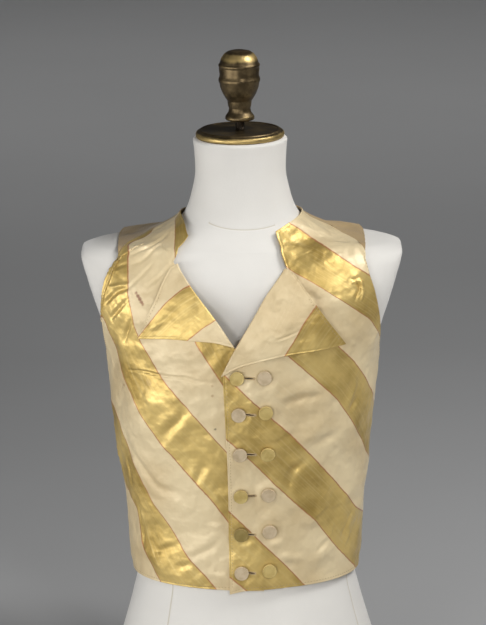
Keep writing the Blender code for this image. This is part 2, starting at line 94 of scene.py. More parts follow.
# The form's level rings: squareness is the section's exponent, and arm_bulge is how far the full
# section would reach past the flat face where the arm is cut off.
RING_COLUMNS = ("height", "half_width", "front", "back", "squareness", "arm_bulge")
FORM_RINGS = [
    (0.0, 158.0, 112.0, 116.0, 2.30, 0.0),
    (45.0, 154.0, 110.0, 119.0, 2.30, 0.0),
    (82.0, 144.0, 104.0, 112.0, 2.30, 0.0),
    (120.0, 133.5, 97.0, 100.0, 2.30, 0.0),
    (150.0, 127.5, 93.0, 92.0, 2.30, 0.0),
    (190.0, 130.0, 93.0, 90.0, 2.30, 0.0),
    (231.0, 134.5, 96.0, 92.0, 2.30, 0.0),
    (291.0, 141.0, 103.0, 100.0, 2.30, 0.0),
    (351.0, 147.5, 111.0, 108.0, 2.30, 0.0),
    (411.0, 153.5, 114.0, 113.0, 2.30, 0.0),
    (450.0, 161.0, 112.0, 116.0, 2.30, 5.0),
    (480.0, 170.0, 106.0, 116.0, 2.30, 9.0),
    (505.0, 177.5, 97.0, 112.0, 2.30, 11.0),
    (523.0, 183.0, 86.0, 105.0, 2.30, 11.0),
    (532.0, 185.0, 79.0, 100.0, 2.25, 9.0),
    (537.5, 180.0, 74.5, 95.0, 2.20, 4.0),
    (541.0, 171.0, 71.9, 90.0, 2.15, 1.0),
    (542.5, 160.0, 71.0, 87.0, 2.10, 0.0),
    (544.5, 139.0, 69.4, 83.0, 2.10, 0.0),
    (548.5, 116.0, 66.0, 78.0, 2.10, 0.0),
    (554.0, 102.0, 62.2, 74.5, 2.10, 0.0),
    (562.0, 84.7, 58.4, 70.5, 2.05, 0.0),
    (571.0, 69.5, 55.6, 66.5, 2.00, 0.0),
    (584.0, 61.5, 53.6, 63.0, 2.00, 0.0),
    (600.0, 56.5, 52.8, 60.0, 2.00, 0.0),
    (626.0, 52.0, 53.0, 58.0, 2.00, 0.0),
    (650.0, 53.0, 54.0, 57.0, 2.00, 0.0),
    (660.7, 54.0, 55.0, 55.0, 2.00, 0.0),
    (663.2, 51.8, 52.8, 52.8, 2.00, 0.0),
]
ARM_EDGE_ROUND = 3.0
FORM_AROUND = 180
FORM_UPWARD = 300

# The cloth's outlines, as (turn, up). The right side's turns count towards the wearer's right.
HEM_UP = 157.0
LEFT_HEM = [(-11.5, 148), (1.0, 152.8), (37.0, 154.7), (66.0, 156), (97.0, HEM_UP)]
RIGHT_HEM = [(-12.2, 151), (12.0, 152.8), (30.0, 154), (63.0, 156), (97.0, HEM_UP)]
BACK_HEM = (180.0, 154.0)
LEFT_OPENING = {
    "edge": [(-11.5, 148), (-11.5, 211), (-10.8, 266), (-10.5, 326), (-11.0, 381), (-11.5, 417)],
    "break_line": [(-11.5, 417), (-4.0, 447), (5.2, 476), (16.2, 507), (31.0, 533.5)],
    "notch": [(31.0, 533.5), (32.2, 560), (35.2, 647)],
    "neck": [(35.2, 647), (52.8, 660), (68.2, 667), (88, 672)],
}
RIGHT_OPENING = {
    "edge": [(-12.2, 151), (-12.2, 210), (-12.2, 265), (-12.2, 325), (-12.2, 380), (-12.2, 417)],
    "break_line": [(-12.2, 417), (4.2, 447), (16.2, 479), (32.5, 516), (46.0, 541)],
    "notch": [(46.0, 541), (48.5, 575), (50.0, 634)],
    "neck": [(50.0, 634), (60.0, 654), (72.0, 666), (87.0, 672)],
}
SIDE_SEAM = [(97.0, HEM_UP), (97.0, 280.0), (97.0, 402.0)]
LEFT_SHOULDER_SEAM = [(88, 672), (93.5, 655), (93.5, 634), (85, 611), (71.6, 563), (69, 547)]
RIGHT_SHOULDER_SEAM = [(87, 672), (92.5, 655), (92, 634), (84.5, 612), (71.8, 563), (69, 547)]
LEFT_ARMHOLE = [
    (97, 402), (90, 406), (82, 420), (75, 441), (71, 460), (67.2, 484), (65.5, 503),
    (64.8, 520), (65.8, 536), (69, 547),
]  # fmt: skip
RIGHT_ARMHOLE = [
    (97, 402), (90, 406), (82, 421), (75.5, 446), (71.5, 470), (69, 488), (67.2, 506),
    (66.2, 523), (66.8, 538), (69, 547),
]  # fmt: skip
BACK_ARMHOLE = [
    (97, 402), (106, 415), (112, 440), (116, 470), (118.5, 500), (119.5, 520), (118.8, 536),
    (116.5, 549), (110.5, 564), (104, 576.4), (97.5, 584.6), (91, 588),
]  # fmt: skip
SHOULDER_ARMHOLE = [(91, 588), (85.5, 586.4), (79.5, 578.4), (76.5, 571.5), (73.3, 560.5), (69, 547)]
SHOULDER_RIDGE = [(91, 588), (97, 616), (100, 643), (99, 669)]
SHOULDER_NECK_END = (99, 669)
BACK_NECK = [(99, 669), (116, 666), (142, 660), (180, 657)]

# Rows of the fine cloth along each stretch of a panel, from the hem up, and columns across it.
OPENING_ROWS = {"edge": 96, "break_line": 80, "notch": 44, "neck": 40}
SIDE_ROWS = 80
BACK_ARMHOLE_ROWS = 110
SHOULDER_COLUMNS = 118
BACK_SIDE_ROWS = 50
BACK_RIDGE_COLUMNS = 48
BACK_NECK_COLUMNS = 16
SHOULDER_ROWS = 14

# Extra rows and columns beside an edge, as shares of a row, which round it and hold its stitch line.
EDGE_STEPS = (0.0, 0.07, 0.22, 0.45, 0.75, 1.0, 1.35, 1.7)
EDGE_ROUND = 0.65
EDGE_POINTS_APART = 0.5
STITCH_IN = 2.3
STITCH_DIP = 0.3
STITCH_DIP_WIDTH = 0.8

LEFT_LAPEL = {
    "fold": [(-11.5, 417), (-4.0, 447), (5.2, 476), (16.2, 507), (30.5, 532.5)],
    "outer": [(51.8, 447), (44.5, 474), (39.0, 500), (33.5, 530)],
    "foot": [(-11.5, 417), (-1.8, 426.5), (12.0, 434), (22.2, 438), (37.8, 441.5), (51.8, 447)],
    "top": [(30.5, 532.5), (33.5, 530)],
}
RIGHT_LAPEL = {
    "fold": [(5.8, 449.5), (16.2, 479), (32.5, 516), (43.5, 537.5)],
    "outer": [(52.8, 456.5), (48.8, 484), (46.4, 506), (45.6, 534.5)],
    "foot": [(5.8, 449.5), (16.8, 455), (29.2, 457), (38.2, 458), (52.8, 456.5)],
    "top": [(43.5, 537.5), (45.6, 534.5)],
}
LAPEL_COLUMNS = 70
LAPEL_ROWS = 90
ROLL_ANGLES = (150, 125, 100, 80, 60, 40, 20)

# Soft folds in the fronts: (turn, up) of each end, half width and height.
FOLD_POINTS = 9
FOLD_END = 0.25
FOLD_COLUMNS = ("start", "end", "half_width", "height")
LEFT_FOLDS = [
    ((20, 392), (47, 402), 9.0, 1.8),
    ((26, 325), (46, 362), 10.0, 1.6),
    ((50, 285), (46, 235), 8.0, 1.8),
    ((62, 275), (58, 200), 8.0, 2.0),
    ((40, 180), (58, 200), 9.0, 1.5),
    ((56, 500), (64, 470), 8.0, 1.8),
]
RIGHT_FOLDS = [
    ((-66, 480), (-52, 520), 7.0, 2.0),
    ((-69, 455), (-57, 492), 7.0, 1.8),
    ((-64, 535), (-66, 600), 8.0, 1.6),
    ((-86, 330), (-78, 265), 6.0, 2.0),
    ((-72, 200), (-50, 172), 9.0, 1.6),
    ((-30, 190), (-16, 230), 9.0, 1.4),
]
OVERLAP_TURN = 15.0
OVERLAP_TURN_FADE = 16.0
OVERLAP_TOP = 440.0
OVERLAP_TOP_FADE = 45.0

# Creases and small folds of the worn satin: the line each follows in the picture, in pixels, its half
# width, and its height, or its depth below 0.
LEFT_CREASES = [
    ([(289, 261.6), (297.4, 257.8), (311.4, 251.4), (319, 243)], 1.0, -0.5),
    ([(351, 277), (360, 288), (355, 299)], 2.4, -1.2),
    ([(352, 282), (360, 281), (362, 286), (358.6, 297)], 2.0, 1.1),
    ([(365, 288), (360, 302)], 2.0, 1.0),
    ([(309, 213), (328, 233.6)], 1.0, -0.4),
    ([(344.6, 227), (362.4, 246), (366.3, 261.6)], 3.0, 1.0),
    ([(309, 291), (319, 302)], 4.0, -1.1),
    ([(284, 404), (303, 399), (322, 396)], 5.0, -1.6),
    ([(256.7, 402.6), (272.6, 386.7)], 2.6, -1.0),
    ([(258.3, 382), (258.3, 396)], 1.4, -0.8),
    ([(357, 383.5), (347.6, 407)], 3.2, 1.4),
    ([(358.7, 398), (350.7, 412)], 3.2, -1.4),
    ([(237.5, 402.6), (255, 398)], 2.6, -0.9),
    ([(252, 449), (272.6, 444), (291.7, 434.5)], 5.0, -1.5),
    ([(236, 431), (258, 441)], 4.5, 1.0),
    ([(309.3, 456.8), (290.2, 476), (287, 490)], 5.0, -1.7),
    ([(330, 484), (322, 498), (318, 501.5)], 1.6, 1.1),
    ([(326.8, 506), (315.7, 516)], 1.6, 1.1),
    ([(334, 522), (330, 536.5)], 1.6, 1.1),
    ([(350.7, 512.6), (342.8, 536.5)], 3.2, -1.5),
    ([(350.7, 528.6), (346, 544.5)], 2.6, 1.3),
    ([(338, 433), (312.5, 447)], 5.5, -1.2),
    ([(328.4, 539.7), (315.7, 552.5)], 2.6, -1.3),
    ([(279, 555.7), (304.5, 558)], 4.5, 1.2),
]
RIGHT_CREASES = [
    ([(129, 370), (141, 371.5), (163, 376), (187, 378), (199, 382), (219, 383)], 1.6, -1.0),
    ([(187, 406), (178, 421), (166, 433.5), (163, 441)], 6.0, -1.7),
    ([(205.5, 465.6), (196, 481)], 4.5, -1.1),
    ([(126, 441), (141, 467), (160, 489), (187, 495)], 5.5, -1.4),
    ([(209, 526), (221, 527)], 3.0, 1.0),
    ([(190, 557.5), (205.5, 551), (221, 539)], 5.0, -1.3),
    ([(208.6, 574), (228.5, 577)], 3.0, 1.0),
    ([(178, 566.6), (193, 563.6)], 3.5, -1.2),
    ([(156.5, 551), (178, 545)], 3.5, -1.1),
    ([(120.6, 443), (124, 452)], 1.6, -1.1),
    ([(126, 458), (129, 472), (132, 485.5)], 1.7, -1.3),
    ([(138, 504), (141, 524)], 1.6, -1.2),
    ([(143, 528), (144, 544)], 1.6, -1.2),
    ([(130, 242), (147, 231), (171.6, 216.5)], 3.4, -1.3),
    ([(131, 256), (147, 247), (165.5, 233)], 3.2, -1.3),
    ([(131, 265.5), (147, 256), (161, 243)], 2.6, -1.1),
    ([(130, 287), (141, 276), (153, 263.5)], 1.6, -1.2),
    ([(147, 287), (159, 277), (171.6, 263.5)], 1.6, -1.2),
    ([(105, 304), (116.5, 292), (128, 287)], 2.6, -1.5),
    ([(112, 317.6), (129, 298)], 2.6, -1.5),
    ([(124, 341), (132, 318.6)], 2.4, -1.1),
    ([(114.5, 267.5), (126.7, 264.5)], 2.2, -1.0),
    ([(107.3, 287), (128.8, 285)], 2.2, 1.0),
    ([(161, 241), (166, 249), (170, 256)], 1.3, -0.7),
]
LEFT_LAPEL_CREASES = [([(273, 341.4), (286, 337), (298, 331.8)], 1.6, -0.6)]
RIGHT_LAPEL_CREASES = [([(193, 315.5), (203, 324)], 1.2, -0.4), ([(150, 330), (168, 318)], 3.0, 0.5)]
# The same on the back, as places on the body: its middle seam, and folds at the waist and armholes.
BACK_CREASES = [
    ([(180, 150), (180, 400), (180, 660)], 1.3, -0.9),
    ([(118, 300), (140, 285), (160, 290)], 6.0, -1.6),
    ([(112, 262), (132, 255), (152, 262)], 5.0, -1.3),
    ([(242, 300), (222, 283), (200, 288)], 6.0, -1.6),
    ([(250, 250), (232, 262), (212, 258)], 5.0, 1.3),
    ([(122, 420), (134, 380), (142, 340)], 5.0, -1.4),
    ([(238, 425), (228, 385), (220, 350)], 5.0, -1.4),
    ([(128, 560), (140, 520), (144, 480)], 6.0, -1.5),
    ([(232, 560), (220, 520), (217, 480)], 6.0, -1.5),
    ([(150, 215), (165, 205), (178, 209)], 4.0, 1.2),
]
CREASE_POINTS = 26
# Creases from the picture are made higher by CREASE_GAIN. Beside each one the cloth dips by a share
# of its height, over this many times its width.
CREASE_GAIN = 2.5
CREASE_SHOULDER = 0.35
CREASE_SHOULDER_WIDTH = 2.2

# The satin's gentle waves, and how they die out at edges and round buttons.
WAVE_HEIGHT = 3.0
WAVE_LENGTHS = (70.0, 33.0, 15.0, 8.0)
WAVE_EDGE = 14.0
WAVE_AT_BUTTONS = (10.0, 9.0)
# Small creases that the sewn buttons draw in the cloth.
PUCKERS = 6
PUCKER_FROM, PUCKER_TO = 7.0, 19.0
PUCKER_WIDTH, PUCKER_DEPTH = 1.3, -0.45

# Hand stitches along the edges: how far in, how far apart, and the thread's size.
STITCH_INSET = 3.6
STITCH_APART = 3.6
STITCH_LENGTH = 2.1
STITCH_RADIUS = 0.38
# A buttonhole starts this far from its button's middle and slopes a little. Its thread is ribbed.
BUTTONHOLE = {
    "from": 7.0, "length": 17.5, "half_width": 1.25, "slope": -0.06, "thread": 0.6, "lift": 0.15,
    "slit_lift": 0.12, "ribbing": 0.16, "rib_turn": 5.6, "end_share": 1.6,
}  # fmt: skip
# Where a lapel starts to lie flat, as a share of its height, and how far its waves may sink it.
LAPEL_FLAT_FROM, LAPEL_FLAT_OVER = 0.55, 0.45
LAPEL_SINK = -0.3
# Where the rows of stitches start and stop, in rows of the grids.
ARMHOLE_STITCHES = slice(SIDE_ROWS + 14, -10)
HEM_STITCHES = slice(8, -8)
EDGE_STITCHES = slice(8, OPENING_ROWS["edge"] + 6)
LAPEL_STITCHES = slice(6, -30)
SEARCH_LIFT = 30.0

# Marks of age on the satin: a pixel, its radius in millimetres, colour and strength.
MARK_COLUMNS = ("pixel", "radius", "colour", "strength")
MARKS = [
    ((136.5, 293), 3.0, (0.25, 0.09, 0.04), 0.8),
    ((138.3, 296), 3.2, (0.22, 0.075, 0.035), 0.85),
    ((140.0, 299), 3.2, (0.22, 0.075, 0.035), 0.85),
    ((141.6, 302), 2.9, (0.25, 0.09, 0.04), 0.8),
    ((143.0, 304.5), 2.5, (0.30, 0.12, 0.05), 0.7),
    ((123.0, 385), 2.6, (0.30, 0.12, 0.05), 0.6),
    ((121.6, 388), 2.4, (0.30, 0.12, 0.05), 0.6),
    ((120.4, 391), 2.3, (0.30, 0.12, 0.05), 0.6),
    ((212.4, 386), 2.2, (0.36, 0.19, 0.08), 0.5),
    ((212.4, 396), 2.2, (0.36, 0.19, 0.08), 0.5),
    ((215.2, 429.6), 2.2, (0.05, 0.04, 0.03), 0.85),
    ((148.4, 382.7), 5.0, (0.40, 0.28, 0.15), 0.35),
    ((118.0, 347), 4.5, (0.40, 0.28, 0.15), 0.35),
    ((323.0, 269), 3.0, (0.30, 0.20, 0.06), 0.5),
]
# How far off the form the marks, the stripe lines and the lapels' lines are taken to lie.
MARK_LIFT = 6.0
LEFT_STRIPE_LIFT, RIGHT_STRIPE_LIFT, LAPEL_LIFT = 6.5, 5.5, 9.0
# A mark is at full strength inside this share of its radius, and gone this far past it.
MARK_CORE, MARK_FADE = 0.7, 1.2
# Painted shade round every button: a dark ring on the cloth that stands in for the shadow each button casts.
BUTTON_PAINTED_SHADE = {"radius": 11.0, "colour": (0.22, 0.15, 0.06), "strength": 0.55}

# The form's seams, read from the picture: two down its front below the hem, and one round its neck.
# Past SEAM_TOP and NECK_SEAM_REACH a seam counts as SEAM_FAR metres away, so it fades out.
FORM_SEAM_PIXELS = [(171.5, 600.0), (351.5, 600.0)]
NECK_SEAM_PIXELS = [(200, 215), (240, 230), (275, 225)]
SEAM_TOP = 300.0
SEAM_FAR = 0.02
NECK_SEAM_REACH = 95.0

# The stripes. Across a panel they repeat every STRIPE_REPEAT, and the first GOLD_WIDTH of each repeat
# is gold. The tables give, in pixels of the picture, the lines where gold meets cream, by how far
# across the stripes each line lies.
ALONG_STRIPES = np.array([0.66, -0.75])
STRIPE_REPEAT = 113.0
GOLD_WIDTH = 53.0
LINE_HALF_WIDTH = 0.75
LEFT_STRIPE_LINES = {
    0: [(289, 222), (321.6, 243.8), (354.8, 266.7), (370, 275)],
    53: [(296, 273), (316.5, 284.6), (349.7, 305.6), (370, 319), (379, 330.5)],
    113: [(340.8, 348.4), (354.8, 361), (367.5, 379), (374.7, 397.8)],
    166: [(288.6, 356.4), (315.7, 379.5), (338, 399.4), (352.3, 420), (363.5, 439.3), (368.3, 448.9)],
    226: [(237.5, 387.5), (261.5, 409.8), (290, 434.5), (312.5, 456.8), (338, 484), (361, 512.6)],
    279: [
        (227, 439.3), (250.3, 460), (272.6, 482.3), (295, 503), (315.7, 520.6), (334.8, 544.5),
        (354.7, 564.4),
    ],
    339: [(232, 514), (240.7, 522.2), (259.9, 540.5), (283.8, 563.6), (305.3, 586)],
    392: [(229.6, 576.4), (247, 590.7)],
}
RIGHT_STRIPE_LINES = {
    53: [(174.8, 217), (174.8, 257.8), (195.9, 343.3), (209.9, 365), (218.8, 379)],
    113: [
        (128.3, 243.8), (128.3, 294.8), (134, 326.7), (141, 344.5), (150, 358.6), (158.9, 375),
        (184.9, 406), (210, 435), (227, 453.4),
    ],
    166: [
        (102.8, 315), (115.5, 345.8), (123.8, 379), (141.2, 415), (159.6, 442.7), (193.3, 481),
        (213.2, 502.4), (228.5, 522.3),
    ],
    226: [
        (110.6, 395), (124.4, 438), (133.6, 465.6), (152, 502.4), (170.3, 526.8), (188.7, 557.5),
        (207, 577.4), (216.2, 589.6),
    ],
    279: [(126, 487), (136.6, 508.5), (142.8, 542), (152, 565), (161, 582)],
}
LEFT_LAPEL_LINES = {0: [(284.6, 356), (294.8, 340.7), (303.8, 324), (315.9, 306.3)]}
RIGHT_LAPEL_LINES = {
    0: [(138.5, 337), (166.5, 302.4), (184.4, 287), (190.8, 285.9)],
    53: [(188.2, 340), (202.2, 328.6), (214.4, 321)],
}
LEFT_LAPEL_ACROSS = (33.0, -20.0)
# Millimetres of cloth for each degree round the body, and how the stripes' smooth sheet is fitted.
FLAT_PER_TURN = 2.45
LINE_SLACK = 0.004
LINE_POINTS_APART = 8.0
LINE_RUN_ON = (30.0, 60.0)
LINE_END_POINTS = 5

# The buttons, from the top down. One gold button's cover has worn dark.
BUTTON_COLUMNS = ("turn", "up", "cover")
FASTENING_BUTTONS = [
    (-3.7, 414, "gold"), (-3.1, 371, "cream"), (-2.8, 323, "cream"),
    (-2.8, 271, "gold"), (-3.0, 223, "gold"), (-3.2, 175, "cream"),
]  # fmt: skip
SHOW_BUTTONS = [
    (11.5, 414, "cream"), (12.2, 373, "gold"), (13.6, 323, "gold"),
    (14.6, 272, "cream"), (15.8, 226, "cream"), (15.8, 177, "gold"),
]  # fmt: skip
DARK_BUTTON = ("fastening_button", 5)
BUTTON_RADIUS, BUTTON_DEPTH, BUTTON_MIDDLE = 8.2, 2.4, 2.1
# A button's face from its edge in: each step's width and rise, which make its rim and its flat top.
BUTTON_STEPS = ((0.4, 0.3), (0.5, 0.06), (0.25, -0.14), (0.5, -0.02), (2.4, 0.1), (2.2, 0.06))

# Turned brass: (radius, height) from the top down the outside to the base.
CAP_PROFILE = [
    (0.0, 8.1), (43.2, 8.1), (44.2, 9.0), (46.0, 8.9), (46.8, 7.4), (48.6, 7.0), (50.4, 5.6),
    (51.0, 3.4), (50.6, 1.0), (49.6, 0.0), (0.0, 0.0),
]  # fmt: skip
CAP_EASE, STUD_EASE, FINIAL_EASE = 0.5, 0.05, 0.6
STUD_LENGTH = 11.0
STUD_RADIUS = 5.4
THREAD_PITCH = 1.1
THREAD_DEPTH = 0.6
FINIAL_PROFILE = [
    (0.0, 80.6), (8.0, 80.3), (13.0, 79.0), (17.0, 76.4), (20.4, 71.8), (22.4, 65.6), (23.7, 64.4),
    (23.7, 62.4), (23.0, 61.0), (23.3, 58.8), (22.5, 53.0), (22.8, 50.2), (23.9, 47.6), (23.8, 45.0),
    (22.9, 43.2), (21.9, 37.6), (18.9, 30.2), (15.8, 25.0), (14.0, 22.4), (13.4, 17.0), (12.3, 13.4),
    (13.2, 9.0), (16.4, 4.6), (16.9, 1.8), (15.8, 0.0), (0.0, 0.0),
]  # fmt: skip
TURNED_STEPS = 96

RING = {name: np.array(column, float) for name, column in zip(RING_COLUMNS, zip(*FORM_RINGS))}
RING_UP = np.concatenate(
    [[0.0], np.cumsum(np.hypot(np.diff(RING["height"]), np.diff(RING["half_width"])))]
)


# The body's surface and places on it.


def eased(known, values, at):
    """Values read between known places on a smooth curve that never overshoots them."""
    known, values = np.asarray(known, float), np.asarray(values, float)
    steps = np.diff(known)
    slopes = np.diff(values) / steps
    tangents = np.concatenate([[slopes[0]], np.zeros(len(known) - 2), [slopes[-1]]])
    rising = slopes[:-1] * slopes[1:] > 0
    before, after = 2 * steps[1:] + steps[:-1], steps[1:] + 2 * steps[:-1]
    safe = np.where(rising, slopes[:-1], 1.0), np.where(rising, slopes[1:], 1.0)
    tangents[1:-1] = np.where(rising, (before + after) / (before / safe[0] + after / safe[1]), 0.0)
    cell = np.clip(np.searchsorted(known, at) - 1, 0, len(steps) - 1)
    share = (np.asarray(at, float) - known[cell]) / steps[cell]
    return (
        values[cell] * (2 * share**3 - 3 * share**2 + 1)
        + steps[cell] * tangents[cell] * (share**3 - 2 * share**2 + share)
        + values[cell + 1] * (3 * share**2 - 2 * share**3)
        + steps[cell] * tangents[cell + 1] * (share**3 - share**2)
    )


def fade(value, start, width):
    """0 below start, 1 above start + width, and smooth between."""
    share = np.clip((np.asarray(value, float) - start) / width, 0.0, 1.0)
    return share * share * (3 - 2 * share)


def ring_point(turn, up):
    """The form's own surface, in millimetres: a level section cut flat where an arm would be."""
    size = {name: eased(RING_UP, values, up) for name, values in RING.items()}
    across, forward = np.sin(turn), np.cos(turn)
    depth = np.where(forward > 0, size["front"], size["back"])
    reach = (
        np.abs(across / (size["half_width"] + size["arm_bulge"])) ** size["squareness"]
        + np.abs(forward / depth) ** size["squareness"]
    ) ** (-1 / size["squareness"])
    flat = size["half_width"] / np.maximum(np.abs(across), 1e-3)
    cut = (reach + flat - np.hypot(reach - flat, ARM_EDGE_ROUND)) / 2
    reach = reach + (cut - reach) * fade(size["arm_bulge"], 0.0, 1.0)
    return np.stack([reach * across, -reach * forward, size["height"]], axis=-1)


def outward(places):
    """The unit direction straight out of the form at each place."""
    places = np.asarray(places, float)
    turn, up = np.radians(places[..., 0]), places[..., 1]
    low = np.clip(up - NUDGE_UP, 0.0, RING_UP[-1])
    high = np.clip(up + NUDGE_UP, 0.0, RING_UP[-1])
    around = ring_point(turn + NUDGE_TURN, up) - ring_point(turn - NUDGE_TURN, up)
    normal = np.cross(around, ring_point(turn, high) - ring_point(turn, low))
    return normal / np.linalg.norm(normal, axis=-1, keepdims=True)


def skin(places, lift=0.0):
    """Points in millimetres at (turn in degrees, up), lifted off the form along its normal."""
    places = np.asarray(places, float)
    flush = ring_point(np.radians(places[..., 0]), places[..., 1])
    return flush + np.asarray(lift, float)[..., None] * outward(places)


def resampled(points, count):
    """count + 1 places spaced evenly along a smooth line through the given ones."""
    points = np.asarray(points, float)
    apart = np.linalg.norm(np.diff(skin(points), axis=0), axis=1)
    along = np.concatenate([[0.0], np.cumsum(apart)])
    at = np.linspace(0.0, along[-1], count + 1)
    return np.stack([eased(along, points[:, axis], at) for axis in (0, 1)], axis=-1)


def chained(*runs):
    """Several lines joined end to end, with a sharp corner where two meet."""
    return np.concatenate([runs[0]] + [run[1:] for run in runs[1:]])


def patch(bottom, top, first, last):
    """Places filling four edge lines: [column, row], bottom and top run from first to last."""
    across = np.linspace(0, 1, len(bottom))[:, None, None]
    upward = np.linspace(0, 1, len(first))[None, :, None]
    sides = (1 - across) * first[None] + across * last[None]
    ends = (1 - upward) * bottom[:, None] + upward * top[:, None]
    corners = (1 - across) * ((1 - upward) * bottom[0] + upward * top[0]) + across * (
        (1 - upward) * bottom[-1] + upward * top[-1]
    )
    return sides + ends - corners


def edge_stepped(places, ends=(True, True, True, True)):
    """The same places with EDGE_STEPS beside the first and last column and the first and last row."""
    for axis in (0, 1):
        count = places.shape[axis] - 1
        at = np.arange(count + 1.0)
        if ends[2 * axis]:
            at = np.concatenate([EDGE_STEPS, at[at > EDGE_STEPS[-1]]])
        if ends[2 * axis + 1]:
            at = np.concatenate([at[at < count - EDGE_STEPS[-1]], count - np.array(EDGE_STEPS[::-1])])
        low = np.minimum(at.astype(int), count - 1)
        share = (at - low).reshape([-1 if axis == side else 1 for side in (0, 1)] + [1])
        before, after = np.take(places, low, axis), np.take(places, low + 1, axis)
        places = before + (after - before) * share
    return places


def mirrored(places):
    """The same places on the wearer's other side."""
    return np.array(places, float) * (-1, 1)


def seam_shift(places, side):
    """Places moved half a seam's gap round the body, forward (side -1) or backward (side 1)."""
    moved = np.array(places, float)
    reach = np.hypot(*skin(moved)[:, :2].T)
    moved[:, 0] += side * np.degrees(SEAM_GAP / 2 / reach)
    return moved


def front_places(hem, opening, armhole, shoulder_seam):
    """A front's grid of places, worked for the wearer's left, from the opening to the side seam."""
    side_seam = seam_shift(SIDE_SEAM, -1)
    shoulder = seam_shift(resampled(shoulder_seam, SHOULDER_COLUMNS), -1)
    inner = chained(*[resampled(opening[name], rows) for name, rows in OPENING_ROWS.items()])
    armhole = [side_seam[-1], *armhole[1:-1], shoulder[-1]]
    outer = chained(
        resampled(side_seam, SIDE_ROWS),
        resampled(armhole, sum(OPENING_ROWS.values()) - SIDE_ROWS),
    )
    return patch(resampled([*hem[:-1], outer[0]], SHOULDER_COLUMNS), shoulder, inner, outer)


def across_the_body(places):
    """The same places on the other side of the centre back."""
    return np.array([(360 - turn, up) for turn, up in places])


def back_places():
    """The back's grid of places, from the left side seam round to the right one, up to the ridges."""
    side_seam = seam_shift(SIDE_SEAM, 1)
    armhole = resampled([side_seam[-1], *BACK_ARMHOLE[1:]], BACK_ARMHOLE_ROWS)
    left = chained(resampled(side_seam, BACK_SIDE_ROWS), armhole)
    ridge = resampled(SHOULDER_RIDGE, BACK_RIDGE_COLUMNS)
    half = chained(ridge, resampled(BACK_NECK, BACK_NECK_COLUMNS))
    top = chained(half, across_the_body(half)[::-1])
    right = across_the_body(left)
    hem = resampled([left[0], BACK_HEM, right[0]], len(top) - 1)
    return patch(hem, top, left, right)


def shoulder_places(shoulder_seam):
    """The grid of places of the back's reach over a shoulder, from its ridge to the front's seam."""
    seam = seam_shift(resampled(shoulder_seam, BACK_RIDGE_COLUMNS), 1)[::-1]
    ridge = resampled(SHOULDER_RIDGE, BACK_RIDGE_COLUMNS)
    armhole = resampled([*SHOULDER_ARMHOLE[:-1], seam[0]], SHOULDER_ROWS)
    neck = resampled([SHOULDER_NECK_END, seam[-1]], SHOULDER_ROWS)
    return patch(armhole, neck, ridge, seam)


def lapel_places(lapel):
    """A lapel's grid of places, from its fold across to its outer edge."""
    return patch(
        resampled(lapel["foot"], LAPEL_COLUMNS),
        resampled(lapel["top"], LAPEL_COLUMNS),
        resampled(lapel["fold"], LAPEL_ROWS),
        resampled(lapel["outer"], LAPEL_ROWS),
    )


# Lifts of the cloth.


def fold_height(places, folds):
    """How far the soft folds raise the cloth at each place, in millimetres."""
    points = skin(places)
    total = np.zeros(points.shape[:-1])
    for fold in folds:
        row = dict(zip(FOLD_COLUMNS, fold))
        line = skin(np.linspace(row["start"], row["end"], FOLD_POINTS))
        away = np.linalg.norm(points[..., None, :] - line, axis=-1)
        strength = np.sin(np.linspace(FOLD_END, math.pi - FOLD_END, FOLD_POINTS))
        total = np.maximum(
            total, (row["height"] * strength * np.exp(-((away / row["half_width"]) ** 2))).max(axis=-1)
        )
    return total


def ease(places):
    """How far the cloth's inner face hangs off the form."""
    from_front = 180 - np.abs(np.abs(places[..., 0]) - 180)
    off_top = fade(np.abs(from_front - SHOULDER_TURN), SHOULDER_HALF_TURN, SHOULDER_FADE_TURN)
    below = 1 - fade(places[..., 1], SHOULDER_UPS[0] - SHOULDER_FADE_UP, SHOULDER_FADE_UP)
    above = fade(places[..., 1], SHOULDER_UPS[1], SHOULDER_FADE_UP)
    resting = (1 - off_top) * (1 - below) * (1 - above)
    return EASE + (SHOULDER_EASE - EASE) * resting


def overlap_rise(places):
    """How far the left front stands out to clear the right one beneath it."""
    across = 1 - fade(places[..., 0], OVERLAP_TURN, OVERLAP_TURN_FADE)
    upward = 1 - fade(places[..., 1], OVERLAP_TOP, OVERLAP_TOP_FADE)
    return (FRONT_WALL + LAYER_GAP) * across * upward


def left_front_lift(places):
    """Lift of the left front's outer face."""
    return ease(places) + FRONT_WALL + overlap_rise(places) + fold_height(places, LEFT_FOLDS)


def right_front_lift(places):
    """Lift of the right front's outer face."""
    return ease(places) + FRONT_WALL + fold_height(places, RIGHT_FOLDS)


def back_lift(places):
    """Lift of the back's outer face."""
    return ease(places) + BACK_WALL


def closer(line, apart):
    """A line's points with more between them, no further apart than this."""
    line = np.asarray(line, float)
    made = [line[:1]]
    for one, other in zip(line, line[1:]):
        count = max(1, math.ceil(np.linalg.norm(other - one) / apart))
        made.append(one + (other - one) * (np.arange(1, count + 1) / count)[:, None])
    return np.concatenate(made)


def nearest(points, line):
    """How far each point is from the nearest of a line's points, and which of them that is."""
    tree = kdtree.KDTree(len(line))
    for index, spot in enumerate(line):
        tree.insert(spot, index)
    tree.balance()
    found = np.array([tree.find(point)[1:] for point in points.reshape(-1, 3)]).reshape(-1, 2)
    return found[:, 1].reshape(points.shape[:-1]), found[:, 0].reshape(points.shape[:-1])


def from_edges(points, ends=(True, True, True, True)):
    """How far each point of a grid is from the grid's own edges, in millimetres."""
    edges = (points[0], points[-1], points[:, 0], points[:, -1])
    line = np.concatenate([closer(edge, EDGE_POINTS_APART) for edge, used in zip(edges, ends) if used])
    return nearest(points, line)[0]


